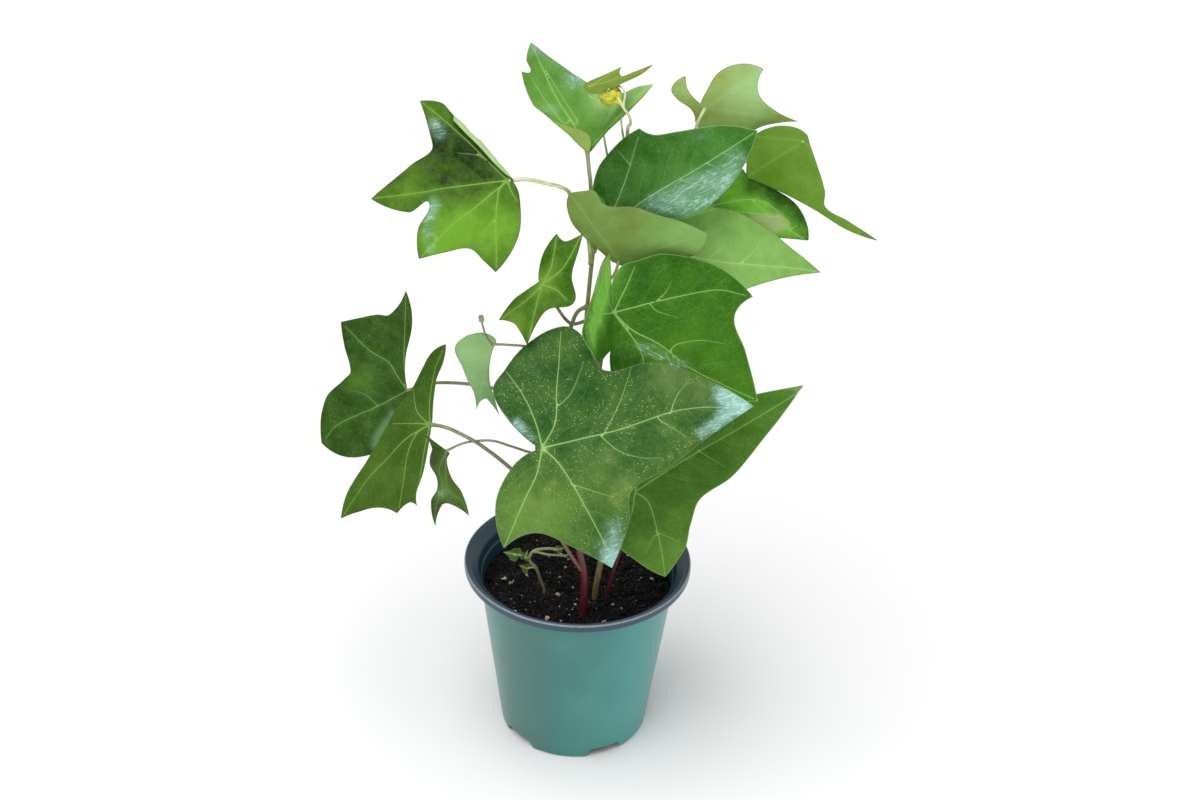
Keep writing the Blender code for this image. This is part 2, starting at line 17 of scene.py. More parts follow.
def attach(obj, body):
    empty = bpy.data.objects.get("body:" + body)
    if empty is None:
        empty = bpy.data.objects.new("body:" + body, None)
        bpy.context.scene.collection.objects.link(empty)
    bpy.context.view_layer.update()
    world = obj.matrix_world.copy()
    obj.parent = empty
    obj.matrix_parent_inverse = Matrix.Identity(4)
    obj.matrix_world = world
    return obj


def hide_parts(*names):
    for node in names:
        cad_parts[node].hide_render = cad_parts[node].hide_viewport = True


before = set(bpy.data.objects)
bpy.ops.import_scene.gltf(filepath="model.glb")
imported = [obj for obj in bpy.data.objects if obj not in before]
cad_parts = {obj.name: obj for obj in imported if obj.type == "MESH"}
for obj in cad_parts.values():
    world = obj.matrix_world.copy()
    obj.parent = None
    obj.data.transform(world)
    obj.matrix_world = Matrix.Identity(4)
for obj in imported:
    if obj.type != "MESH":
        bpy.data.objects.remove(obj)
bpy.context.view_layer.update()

MM = 0.001

# Camera, as found from the photograph
PHOTO_WIDTH = 1200
PHOTO_FOCAL = 1500
SENSOR = 36.0
CAMERA_AT = (0.0, -573.7, 491.9)
CAMERA_PITCH = 28.98
CAMERA_YAW = -0.77
CAMERA_ROLL = 2.02

# Pot: wall radii, heights and the rolled lip
POT_HEIGHT = 90.9
LIP_RADIUS = 52.5
LIP_HEIGHT = 3.9
LIP_WIDTH = 2.4
LIP_DIP = 0.5
LIP_EDGE = 1.1
WALL = 1.2
WALL_TOP = (46.6, 86.0)
STEP = (45.4, 82.0)
STEP_OUT = 0.8
WALL_FOOT = (35.2, 1.0)
BASE_RADIUS = 34.4
INNER_FOOT = 2.4
INNER_BEVEL = 1.2
POT_SIDES = 144

# Recesses under the base, each with a drain hole
RECESS_COUNT = 5
RECESS_FIRST = -64.5
RECESS_ROOF_WIDTH = 25.0
RECESS_FOOT_WIDTH = 35.0
RECESS_INNER = 27.0
RECESS_HEIGHT = 4.6
RECESS_CORNER = 2.0
ROOF_LAP = 0.6
ROOF_SIDE = 2.0
DRAIN_RADIUS = 2.5
DRAIN_AT = 30.5
DRAIN_SIDES = 32
SHARP_ANGLE = 35.0

# Soil
SOIL_TOP = 79.0
SOIL_RISE = 1.0
SOIL_RINGS = 44
SOIL_SIDES = 150
SOIL_GAP = 0.3
SOIL_EDGE_GAP = 0.4
SOIL_SINK = 0.4
HOLE_BOTTOM = 64.0

# Loose matter on the soil: dark and light tone, and scale of the speckle
LITTER_TONES = {
    "soil_crumb": ((8, 7, 8), (42, 38, 38), 900.0),
    "soil_bark": ((24, 17, 14), (66, 56, 50), 900.0),
    "soil_fibre": ((30, 24, 22), (96, 84, 76), 900.0),
    "soil_perlite": ((150, 142, 136), (226, 220, 212), 1500.0),
}
LITTER_INPUTS = ("Per square metre", "Seed", "Smallest", "Largest", "Flattening", "Stretch", "Jag",
                 "Jag scale", "Fineness")
# Each kind: tones, how much further in it stays than the margin, if it is smooth, and the inputs above
LITTER = {
    "soil_crumbs": ("soil_crumb", 0, False, (9.0e5, 3, 0.0003, 0.0010, 0.7, 1.3, 0.0007, 700.0, 1)),
    "soil_clods": ("soil_crumb", 1, False, (1.2e5, 5, 0.0008, 0.0018, 0.7, 1.3, 0.0014, 500.0, 2)),
    "soil_bark_bits": ("soil_bark", 1, False, (6.0e4, 8, 0.0004, 0.0011, 0.4, 2.2, 0.0008, 700.0, 1)),
    "soil_fibres": ("soil_fibre", 4, False, (9.0e4, 11, 0.00013, 0.00022, 0.9, 16.0, 0.0005, 260.0, 2)),
    "soil_perlite": ("soil_perlite", 2, True, (0.8e4, 21, 0.0006, 0.0014, 0.7, 1.3, 0.0011, 420.0, 3)),
    "soil_perlite_fines": ("soil_perlite", 1, False,
                           (6.5e4, 27, 0.00022, 0.0005, 0.7, 1.3, 0.0004, 700.0, 1)),
}
LITTER_MARGIN = 1.8
GROUND_RINGS = 12
GROUND_SIDES = 48

# Studio floor: half its width
FLOOR_REACH = 8000.0

# Leaf blades: spacing of their points and pattern cells by size, and thickness toward the rim
BLADE_SPACING = 0.95
SMALL_SPACING = 0.55
SMALL_LENGTH = 40.0
TINY_SPACING = 0.4
TINY_SEED = 40
LEAF_CELL = 2.2
TINY_CELL = 1.0
HALF_THICK = 0.24
HALF_RIM = 0.09
RIM_TAPER = 1.2
RIM_REACH = 0.12
TIP = "tip"  # marks a sharp point of a leaf's edge

# Grid of points across a blade, and how many spacings it keeps from lines and rows of points
ROW_SHARE = 0.87  # height of a triangle's row as a share of its side
CREASE_ROWS = 7
BEND_LIMIT = 6.0  # a wider bend gets no rows of its own
CLEAR_OF_ROWS = 0.45
CLEAR_OF_EDGE = 0.40
CLEAR_OF_VEINS = 0.35
CUT_INSIDE = 1
MERGE_DISTANCE = 1e-4

# Veins: half width at the base and at the end of the main, drawn side and ruled side veins
MAIN_WIDTHS = (0.32, 0.14)
DRAWN_WIDTHS = (0.20, 0.05)
RULED_WIDTHS = (0.22, 0.10)
FAR = 99.0

# Ruled side veins: where they leave a main vein, their angle, length and room
SIDE_SHARES = (0.20, 0.38, 0.56, 0.74)
SIDE_STAGGER = 0.035
SIDE_ANGLE = 52.0
SIDE_CURVE = 0.45  # share of that angle lost toward the end
SIDE_REACH = 0.40
SIDE_FALL = 1.15  # a side vein's length goes with this less its share
SIDE_FEWEST = 3
VEIN_CLEARANCE = 1.5
EDGE_CLEARANCE = 1.0

# Relief of a blade: bulge between veins and slow waves, less on small blades
QUILT_REACH = 2.2
WAVE_LENGTHS = (34.0, 22.0, 13.0)
RELIEF_LENGTH = 60.0
RELIEF_MOST = 1.2

# Patterns: what sets those of the pieces apart, the colours of small marks, and that of the painted highlight
# on the crests of a blade's gloss
BLADE_SHIFT = 7.0
TUBE_SHIFT = 31.0
DOT_COLOUR = (202, 222, 168)
SPECKED_GROUND = (150, 166, 60)
SPECK_COLOUR = (200, 216, 96)
CREST_HIGHLIGHT = (198, 228, 216)

# Mesh attribute kinds by the width of their values, and the name that each stores them under
ATTRIBUTE_KINDS = {1: ("FLOAT", "value"), 3: ("FLOAT_VECTOR", "vector"), 4: ("FLOAT_COLOR", "color")}


def srgb(red, green, blue):
    """Linear colour from the 0 to 255 values of a screen."""
    return tuple(c / 12.92 if c <= 0.04045 else ((c + 0.055) / 1.055) ** 2.4
                 for c in (red / 255, green / 255, blue / 255))


def polar(angle, distance):
    """Flat point at an angle from the midrib, left positive."""
    turn = math.radians(angle)
    return np.array((-distance * math.sin(turn), distance * math.cos(turn)))


def unit(way):
    return way / max(np.linalg.norm(way), 1e-9)


class Leaf:
    """A blade: place of its base, way its upper face looks, heading of its midrib, edge and creases.

    edge lists (angle from the midrib, distance from the base). A crease is (direction, distance from
    the base, turn, radius): what lies past it turns toward the upper face, or the lower if turn < 0.
    """

    def __init__(self, base, face, heading, edge, creases=()):
        self.base = np.array(base, float)
        self.edge = edge
        self.creases = list(creases)
        azimuth, elevation = np.radians(face)
        self.up = np.array((math.sin(azimuth) * math.cos(elevation),
                            -math.cos(azimuth) * math.cos(elevation), math.sin(elevation)))
        right = np.array((math.cos(azimuth), math.sin(azimuth), 0.0))
        turn = math.radians(heading)
        self.along = right * math.cos(turn) + np.cross(self.up, right) * math.sin(turn)
        self.across = np.cross(self.along, self.up)
        self.length = max(item[1] for item in edge)

    def outline(self, spacing):
        """Smooth closed line through the edge's points, with a corner at each tip."""
        points = [polar(item[0], item[1]) for item in self.edge]
        last = len(points) - 1
        corner = [len(item) > 2 or index in (0, last) for index, item in enumerate(self.edge)]
        line = []
        for i in range(last):
            start, end = points[i], points[i + 1]
            chord = end - start
            length = np.linalg.norm(chord)
            way = unit(chord)
            leave = way if corner[i] else unit(end - points[i - 1])
            reach = way if corner[i + 1] else unit(points[i + 2] - start)
            if corner[i] and not corner[i + 1]:
                leave = unit(way * 2 - reach)
            if corner[i + 1] and not corner[i]:
                reach = unit(way * 2 - leave)
            steps = max(2, round(length / spacing))
            for k in range(steps):
                t = k / steps
                ease = t * t * (3 - 2 * t)
                bow = leave * (t * (1 - t) ** 2) - reach * (t * t * (1 - t))
                line.append(start + chord * ease + bow * length)
        line.append(points[last])
        return np.array(line)

    def place(self, flat, lift):
        """Flat points, lifted off the blade's plane, to their places through the creases."""
        x, y, z = flat[:, 0].copy(), flat[:, 1].copy(), lift.copy()
        for direction, distance, turn, radius in self.creases:
            normal = polar(direction, 1.0)
            toward = math.copysign(1.0, turn)
            full = math.radians(abs(turn))
            past = x * normal[0] + y * normal[1] - distance
            angle = np.clip(past / radius, 0.0, full)
            beyond = np.maximum(past - radius * full, 0.0)
            rise = z * toward
            moved = radius * np.sin(angle) + beyond * np.cos(angle) - rise * np.sin(angle)
            raised = radius * (1 - np.cos(angle)) + beyond * np.sin(angle) + rise * np.cos(angle)
            bent = past > 0
            z = np.where(bent, toward * raised, z)
            shift = np.where(bent, moved - past, 0.0)
            x += normal[0] * shift
            y += normal[1] * shift
        return self.base + np.outer(x, self.across) + np.outer(y, self.along) + np.outer(z, self.up)


LEAVES = {
    "leaf_top": Leaf(
        (-1, 15, 283), (0, 50), 116,
        [(-170, 2), (-90, 11), (-97, 25), (-90, 38, TIP), (-62, 32), (-36, 29), (-20, 34), (0, 57, TIP),
         (6, 50), (8, 44), (12, 46, TIP), (18, 37), (24, 28), (32, 18), (50, 12), (90, 8), (150, 3)],
        [(-142, 0, 55, 3), (112, 0, 160, 1)]),
    "leaf_young": Leaf(
        (-1, 20, 308), (0, 45), 23,
        [(-160, 2), (-70, 4), (-30, 8), (-12, 15), (-6, 22), (0, 28, TIP), (-1, 19), (0, 14),
         (13, 16, TIP), (20, 8), (90, 2), (160, 2)]),
    "leaf_left_top": Leaf(
        (-32, -10, 278), (-10, 35), -167,
        [(-175, 3), (-112, 5.5), (-68, 23), (-64, 34, TIP), (-58.5, 37), (-55.5, 43.5), (-49, 50, TIP),
         (-37, 37), (-29, 34), (-17, 40), (0, 56, TIP), (10, 42), (8, 33), (22, 41), (35, 47, TIP),
         (43, 37.5), (55, 31), (68, 33.5), (77, 37, TIP), (95, 23), (119, 8), (160, 2)],
        [(-144.5, 1.2, 155, 1)]),
    "leaf_pale": Leaf(
        (49, 50, 291), (180, 20), 137,
        [(-195, 7), (-145, 6), (-117, 13), (-103, 18), (-77, 19, TIP), (-88, 12), (-90, 3, TIP), (-50, 8),
         (-33, 20), (-17, 27), (0, 31, TIP), (16, 24), (36, 26), (51, 41, TIP), (60, 28), (85, 22),
         (120, 16), (160, 8)]),
    "leaf_dark": Leaf(
        (8, 18, 248), (-5, 25), 36,
        [(-150, 3), (-40, 12), (-33, 22), (-26, 35), (-20, 46), (-10, 61), (0, 75, TIP), (9, 64), (21, 49.5),
         (30, 43.5), (39, 43.5, TIP), (47, 37.5), (57, 30), (66, 24.5), (79, 16, TIP), (110, 12), (160, 3)]),
    "leaf_olive": Leaf(
        (14, 17, 233), (180, 15), 156,
        [(-170, 3), (-120, 14), (-113, 27), (-105, 36), (-98, 41, TIP), (-89, 39), (-84, 38), (-79, 30),
         (-56, 29), (-39, 29), (-18, 33), (0, 40, TIP), (15, 33), (24, 18), (90, 3)]),
    "leaf_light": Leaf(
        (23, 26, 237), (5, 30), -9,
        [(-170, 3), (-90, 14), (-45, 28), (-26, 42), (-12, 52), (-4, 65), (0, 80, TIP), (4, 72), (9, 64),
         (15, 57), (28, 44), (40, 33), (60, 26), (97, 12), (160, 4)]),
    "leaf_back": Leaf(
        (91, 38, 282), (160, 10), -129,
        [(-22, 3), (9, 12), (14, 25), (19, 33), (8, 42), (0, 56, TIP), (11, 46), (27, 34), (60, 28),
         (87, 33, TIP), (109, 26), (126, 22, TIP), (150, 13.5), (187, 6.5), (250, 3)]),
    "leaf_shaded": Leaf(
        (51, 44, 248), (0, 30), -18,
        [(-160, 3), (-60, 9), (-24, 18), (-6, 30), (0, 41), (2, 48, TIP), (11, 45.5), (22, 40), (34, 32),
         (55, 24), (64, 24, TIP), (72, 20), (84, 13), (120, 6), (160, 2)]),
    "leaf_centre": Leaf(
        (12, -3, 218), (5, 30), -32,
        [(-231, 3), (-233, 14), (-235, 25, TIP), (-196, 21), (-155, 25), (-138, 32), (-131, 37), (-107, 30),
         (-93, 27, TIP), (-69, 16.5, TIP), (-60.5, 30), (-45, 44, TIP), (-20, 50), (0, 72, TIP),
         (15, 58.5), (29.5, 51.5), (38, 60, TIP), (56, 48), (80, 33), (97, 24), (111, 20), (125, 12),
         (131, 3)],
        [(-148, 0, 64, 2)]),
    "leaf_front": Leaf(
        (-16, -42, 174), (0, 35), 13,
        [(-171, 3), (-158, 14.5), (-140.5, 30), (-122, 44, TIP), (-106, 35), (-85, 42), (-71, 58, TIP),
         (-52, 47), (-37, 41), (-20, 53), (-8, 68), (0, 90, TIP), (14, 71), (27, 57), (41, 41), (58, 49),
         (70, 52), (88, 44.5), (105, 36.5), (119, 31.5), (129, 18), (150, 3)]),
    "leaf_low": Leaf(
        (24, -22, 141), (10, 35), 27,
        [(-165, 4), (-145, 22), (-122, 29), (-100, 40, TIP), (-80, 33), (-60, 28), (-37, 29), (-22, 43.5),
         (-8, 64), (1, 90.5, TIP), (7.5, 70), (15, 56), (30, 38), (52, 36, TIP), (75, 28), (110, 18),
         (150, 4)]),
    "leaf_left_dark": Leaf(
        (-78, 11, 170), (-15, 35), 145,
        [(-30, 2), (-40, 14), (-48, 31), (-43, 45, TIP), (-31, 35.5), (-22, 37.5), (-12, 40), (0, 45, TIP),
         (10, 36.5), (26, 28), (34, 30), (50, 38.5), (75, 45.5, TIP), (95, 38.5), (120, 24), (150, 8),
         (170, 3)]),
    "leaf_left_low": Leaf(
        (-65, -15, 168), (-40, 35), -115,
        [(-150, 3), (-135, 19), (-141, 28), (-139.5, 35.5, TIP), (-129.5, 32.5), (-117, 26), (-90, 20),
         (-50, 22), (-20, 34), (-8, 50), (0, 60, TIP), (8, 47.5), (18, 41.5), (29, 40.5, TIP), (36, 34.5),
         (44, 35.5, TIP), (40.5, 30), (43.5, 22), (47, 12), (60, 3)]),
    "leaf_small_pale": Leaf(
        (-38, -15, 207.5), (180, 10), -79,
        [(-150, 2), (-2, 9), (-6, 20), (-11, 28), (-14, 38, TIP), (-9, 32), (-3, 29.5), (1, 36, TIP),
         (7, 27.5), (17, 23), (35, 18), (70, 16), (95, 12), (125, 8), (150, 5.5), (190, 3)]),
    "leaf_small_middle": Leaf(
        (-18, -5, 231), (-20, 35), -129,
        [(-66, 2), (-19, 8), (-12, 14), (-1, 23.5, TIP), (14, 20), (26, 21.5), (38, 26, TIP), (45, 16),
         (66, 11), (111, 16), (156, 13), (184, 21), (192, 27, TIP), (199, 21.5), (205, 20), (216, 22, TIP),
         (229, 14), (243, 7), (280, 2)]),
    "leaf_small_low": Leaf(
        (-58, -20, 158), (0, 0), -74,
        [(-158, 2), (-148, 12, TIP), (-118, 6), (-88, 7), (-60, 10), (-34, 14), (-28, 20), (-31, 27),
         (-24, 39, TIP), (-21, 28), (-14, 27), (0, 34, TIP), (1, 22), (-7, 14), (-14, 5), (40, 2)]),
}


@dataclass
class Look:
    """Finish of a blade: colours of its faces (in shade, in light), its veins, patches and form.

    A vein is a list of (angle from the midrib, distance); main veins start at the leaf's base. A patch
    is (angle, distance, radius, amount). Tones move a face between its shade and light colours: they
    are painted light and shade, with some of the blade's own lighter and darker colour. Pales tint it
    with the pale colour, in places its own paler colour and in places painted light. Gloss patches lay a
    painted crinkled bluish reflection on it, with painted highlights on the crests. Specks are places,
    (angle, distance, radius), of yellow dots.
    """
    upper: tuple
    lower: tuple
    veins: tuple = ()
    side_veins: tuple = ()
    tone: float = 0.35
    tones: tuple = ()
    pales: tuple = ()
    pale: tuple = (130, 190, 80)
    blooms: tuple = ()
    gloss: float = 0.5
    gloss_colour: tuple = (118, 172, 142)
    crinkle: float = 0.0
    bends: tuple = ()
    quilt: float = 0.45
    wave: float = 0.35
    dots: float = 0.3
    specks: tuple = ()
    vein_colour: tuple = (160, 200, 120)
    rim_colour: tuple = (112, 118, 72)


UNDERSIDE = ((112, 146, 84), (158, 186, 128))

LOOKS = {
    "leaf_top": Look(
        ((54, 112, 12), (112, 164, 66)), ((122, 148, 66), (148, 172, 88)),
        veins=([(1, 15), (3, 25), (2, 37), (0, 56)], [(-75, 12), (-88, 30), (-88, 43)]),
        side_veins=([(-8, 14), (-2, 28), (0, 42)], [(14, 16), (12, 30), (10, 43)]),
        tone=0.4, tones=((10, 25, 10, 0.3),),
        pales=((-40, 27, 7, 0.9), (-52, 21, 7, 0.7), (-75, 33, 9, 1.0), (-90, 40, 8, 1.0)),
        pale=(146, 194, 108), quilt=0.3,
        blooms=((-4, 54, 7, 0.8), (-16, 34, 6, 0.7), (-12, 44, 5, 0.5), (14, 24, 4, 0.5))),
    "leaf_young": Look(
        ((92, 124, 30), (140, 160, 72)), ((110, 138, 46), (152, 172, 92)),
        veins=([(-3, 12), (0, 27)], [(13, 15)]), quilt=0.12, wave=0.15, vein_colour=(150, 175, 60)),
    "leaf_left_top": Look(
        ((22, 46, 0), (106, 158, 38)), ((154, 186, 122), (188, 214, 158)),
        veins=([(-1, 24), (0, 36), (0, 55)], [(-50, 10), (-51, 22), (-50, 39), (-49, 49)],
               [(33, 16), (32, 28), (35, 46)], [(43, 5), (59, 10), (68, 17), (77, 35)], [(100, 4), (108, 9)]),
        side_veins=([(-50, 12), (-46, 17), (-36, 24)], [(31, 36), (38, 41)], [(66, 16), (56, 26)]),
        tone=0.05, tones=((-80, 13, 3.5, 0.6), (-74, 21, 3.5, 0.6), (-68, 29, 3.5, 0.6),
                          (34, 30, 13, 0.7), (75, 20, 15, 0.85), (40, 42, 10, 0.5), (4, 46, 11, 0.45),
                          (-52, 44, 9, 0.35), (-10, 34, 8, 0.2)),
        blooms=((-44, 39, 3.4, 0.7), (-42, 34, 3.4, 0.6), (11, 32, 3.6, 0.8), (17, 35, 3.6, 0.8),
                (27, 38, 3.2, 0.6), (35, 41, 2.6, 0.6)), crinkle=60.0, quilt=0.4,
        dots=0.0, vein_colour=(138, 182, 84), rim_colour=(84, 78, 40)),
    "leaf_pale": Look(
        ((90, 140, 50), (130, 180, 90)), ((152, 168, 76), (170, 208, 136)),
        tone=0.15, tones=((20, 22, 14, 0.8), (5, 30, 10, 0.4), (-90, 15, 8, 0.5)), quilt=0.15,
        wave=0.25, dots=0.0,
        vein_colour=(172, 200, 120)),
    "leaf_dark": Look(
        ((46, 100, 10), (98, 150, 72)), UNDERSIDE,
        veins=([(3, 14), (2, 25), (0, 50), (0, 73)], [(35, 20), (38, 40)], [(62, 10), (76, 15)],
               [(-34, 10), (-30, 28)]),
        side_veins=([(0, 37), (-6, 41), (-12, 47)], [(0, 50), (-6, 54)], [(0, 58), (-5, 62)],
                    [(37, 28), (50, 33)]),
        tone=0.2, tones=((-18, 36, 14, 0.4), (-10, 55, 9, 0.3)),
        blooms=((-10, 22, 5, 0.9), (-13, 30, 6, 1.0), (-13, 38, 7, 1.0), (-12, 46, 7, 1.0), (-10, 54, 6, 0.9),
                (-5, 62, 5, 0.6), (13, 54, 5, 0.35)),
        gloss=0.48, crinkle=-48.0, bends=((-90, 0, -13, 6),), vein_colour=(150, 205, 150),
        rim_colour=(140, 190, 130)),
    "leaf_olive": Look(
        ((80, 130, 40), (120, 170, 80)), ((112, 130, 56), (132, 178, 96)),
        tone=0.25, tones=((-80, 30, 14, 0.25), (-4, 34, 12, 0.7), (-16, 22, 8, 0.4)), quilt=0.15, wave=0.3,
        dots=0.0, vein_colour=(160, 180, 120)),
    "leaf_light": Look(
        ((92, 148, 56), (144, 186, 100)), UNDERSIDE,
        veins=([(-4, 25), (-3, 37), (0, 67), (0, 78)], [(48, 15), (34, 36)], [(-44, 12), (-42, 27)]),
        side_veins=([(-1, 31), (7, 37)], [(-1, 45), (8, 52)]),
        tone=0.5, tones=((-30, 25, 14, 0.15), (-4, 46, 14, 0.3)), vein_colour=(170, 215, 150)),
    "leaf_back": Look(
        ((90, 140, 50), (130, 180, 80)), ((90, 132, 30), (120, 162, 62)),
        tone=0.5, tones=((70, 22, 8, -0.5),), quilt=0.15, wave=0.3, dots=0.0, vein_colour=(150, 185, 100)),
    "leaf_shaded": Look(
        ((34, 74, 4), (112, 180, 50)), UNDERSIDE,
        veins=([(32, 10), (30, 20), (24, 27), (16, 33)], [(12, 34), (5, 39), (2, 46)]),
        side_veins=([(26, 22), (16, 27), (9, 30)], [(5, 39), (9, 42)]),
        tone=0.45, tones=((26, 16, 6, 0.5), (20, 26, 5, 0.6), (5, 38, 5, 0.45), (44, 28, 7, -0.4),
                          (31, 34, 6, -0.45), (23, 39, 6, -0.5), (12, 44, 5, -0.45), (60, 16, 6, 0.1)),
        pales=((4, 23, 2.6, 1.6), (3, 27, 3.0, 1.8), (8, 29, 2.6, 1.8), (4, 32, 2.6, 1.8), (11, 33, 2.0, 1.8),
               (7, 36, 1.8, 1.4)), pale=(152, 176, 108),
        dots=0.0, vein_colour=(165, 200, 125), rim_colour=(50, 62, 20)),
    "leaf_centre": Look(
        ((30, 84, 4), (78, 130, 24)), ((98, 158, 52), (156, 206, 104)),
        veins=([(-11, 11), (-3, 24), (-4, 42), (0, 70)], [(46, 10), (46, 20), (44, 44), (39, 57)],
               [(-25, 22), (-43, 42)], [(95, 12), (96, 22)], [(-190, 10), (-218, 20)],
               [(-140, 15), (-133, 33)]),
        side_veins=([(47, 19), (53, 24), (60, 28)], [(45, 16), (33, 19), (27, 28)],
                    [(5, 30), (14, 39), (16, 50)], [(-3, 30), (-16, 40)]),
        tone=0.3, tones=((10, 36, 16, 0.3), (-12, 28, 7, 0.5), (-3, 58, 11, 0.4), (-28, 40, 10, 0.45)),
        pales=((-228, 20, 6, 1.1), (-200, 15, 7, 1.1), (-165, 15, 7, 1.1), (-140, 19, 7, 1.0),
               (-125, 26, 6, 1.0)), pale=(128, 192, 78),
        blooms=((-21, 18, 2.6, 0.6), (-15, 22, 2.8, 0.7), (-11, 27, 3.0, 0.8), (-9, 33, 3.2, 0.8),
                (-4, 38, 2.6, 0.6), (-24, 36, 3.0, 0.5), (-128, 31, 2.6, 0.8), (-139, 26, 2.2, 0.6)),
        gloss=0.75, gloss_colour=(96, 146, 72), crinkle=10.0, vein_colour=(158, 200, 118),
        rim_colour=(140, 184, 104)),
    "leaf_front": Look(
        ((32, 78, 26), (96, 132, 52)), UNDERSIDE,
        veins=([(2, 16), (2, 33), (4, 60), (0, 88)], [(52, 12), (65, 25), (68, 38), (70, 50)],
               [(93, 10), (98, 22), (104, 36)], [(-55, 10), (-64, 26), (-69, 56)],
               [(-113, 11), (-120, 23), (-122, 43)]),
        side_veins=([(59, 18), (51, 26), (53, 40)], [(-61, 20), (-46, 36)], [(1, 26), (20, 38), (31, 50)],
                    [(-1, 25), (-14, 32), (-17, 42), (-16, 50)], [(4, 55), (10, 60), (14, 68)],
                    [(2, 50), (-7, 60)]),
        tone=0.17, tones=((-112, 30, 20, 0.68), (-85, 32, 16, 0.12), (-35, 25, 8, 0.4), (14, 62, 14, 0.22),
                          (-47, 38, 8, 0.4), (-10, 50, 12, 0.2), (70, 46, 8, 0.3)),
        pales=((17, 60, 6, 0.28), (8, 70, 6, 0.22), (-18, 28, 4, 0.2), (-34, 37, 4, 0.25),
               (-104, 26, 5, 0.15), (-50, 1, 1.2, 1.2)), pale=(150, 172, 104),
        blooms=((5, 79, 5, 0.8), (1, 85, 6, 1.2), (-2, 76, 3.6, 0.7), (-4, 71, 3.4, 0.6), (-6, 66, 3.4, 0.5),
                (-70, 56, 5, 0.8), (-66, 50, 6, 0.5), (-58, 44, 5, 0.3),
                (124, 15, 2.8, 0.45), (126, 11, 2.8, 0.5), (124, 6, 2.4, 0.45)), gloss=0.85,
        gloss_colour=(150, 200, 188), crinkle=30.0,
        bends=((0, 62, -9, 26), (-70, 42, -26, 16), (112, 26, -18, 14)), dots=1.0,
        specks=((-9, 61, 2.4), (-15, 53, 2.0), (-38, 40, 3.0), (-46, 37, 3.4), (-95, 18, 2.4),
                (-84, 15, 1.8)),
        vein_colour=(164, 206, 132), rim_colour=(118, 132, 98)),
    "leaf_low": Look(
        ((58, 102, 26), (98, 140, 48)), UNDERSIDE,
        veins=([(2, 19), (1, 34), (0, 60), (0, 88)], [(-70, 8), (-93, 22), (-100, 39)], [(48, 14), (52, 34)],
               [(-130, 10), (-140, 20)]),
        side_veins=([(-97, 21), (-111, 27)], [(-92, 20), (-78, 30)], [(1, 34), (-16, 42)]),
        tone=0.31, tones=((-110, 30, 10, 0.2), (-62, 20, 5, 0.3), (-84, 31, 4, 0.4), (-112, 24, 4, 0.3)),
        blooms=((0, 86, 5, 0.4),), bends=((-95, 26, -22, 18),),
        vein_colour=(150, 190, 104), rim_colour=(134, 168, 92)),
    "leaf_left_dark": Look(
        ((22, 56, 0), (74, 116, 34)), UNDERSIDE,
        veins=([(-10, 8), (-10, 16), (-1, 26), (0, 42)], [(72, 14), (70, 24), (70, 36), (74, 43)],
               [(-38, 14), (-43, 43)]),
        side_veins=([(71, 15), (50, 19), (43, 27)],),
        tone=0.25, tones=((30, 22, 7, 0.5), (111, 20, 2.6, -0.6), (110, 26, 2.6, -0.5)),
        pales=((104, 12, 2.2, 1.0), (104, 16, 2.2, 1.1), (104, 20, 2.4, 1.1), (104, 24, 2.4, 1.1),
               (105, 28, 2.2, 1.0)), pale=(92, 134, 86),
        vein_colour=(118, 156, 84), rim_colour=(66, 58, 34)),
    "leaf_left_low": Look(
        ((40, 72, 4), (76, 112, 32)), UNDERSIDE,
        veins=([(-18, 8), (-15, 15), (-9, 28), (-4, 44), (0, 58)], [(-47, 8), (-45, 20)],
               [(-75, 4), (-82, 11), (-97, 20)], [(-124, 11), (-132, 24), (-138, 33)],
               [(-10, 8), (8, 17), (22, 27), (29, 38)], [(40, 15), (42, 31)]),
        tone=0.4, tones=((-110, 24, 9, -0.2), (0, 40, 14, 0.15)), vein_colour=(128, 168, 78),
        rim_colour=(84, 84, 44)),
    "leaf_small_pale": Look(
        ((90, 140, 50), (130, 180, 80)), ((112, 152, 92), (148, 188, 124)),
        tone=0.5, tones=((40, 12, 8, 0.4), (-10, 30, 8, -0.3)), quilt=0.08, wave=0.2, dots=0.0,
        vein_colour=(150, 185, 125)),
    "leaf_small_middle": Look(
        ((50, 96, 0), (130, 172, 60)), UNDERSIDE,
        veins=([(-158, 7), (-150, 13), (-145, 21)], [(178, 11), (-168, 26)], [(118, 7), (108, 13)],
               [(36, 7), (38, 23)], [(6, 8), (0, 22)]),
        tone=0.08, tones=((40, 1, 7, 0.6), (20, 18, 8, 0.38)), quilt=0.25, wave=0.25,
        vein_colour=(150, 190, 100), rim_colour=(84, 80, 40)),
    "leaf_small_low": Look(
        ((42, 62, 8), (88, 122, 50)), UNDERSIDE,
        veins=([(-34, 10), (-22, 18), (-26, 30), (-24, 38)], [(-16, 18), (-2, 26), (0, 33)]),
        tone=0.4, tones=((-20, 20, 6, 0.5), (-30, 32, 6, -0.4)), blooms=((-22, 22, 3, 0.6),), quilt=0.15,
        wave=0.2, vein_colour=(108, 138, 72), rim_colour=(86, 74, 48)),
}

# Colours of stems and petioles
MAROON = (96, 26, 40)
RUST = (118, 78, 60)
OLIVE = (146, 146, 102)
GREEN = (158, 172, 108)
PALE = (206, 218, 158)
CREAM = (222, 230, 186)
GREY_GREEN = (150, 154, 118)
DUSKY = (130, 122, 98)

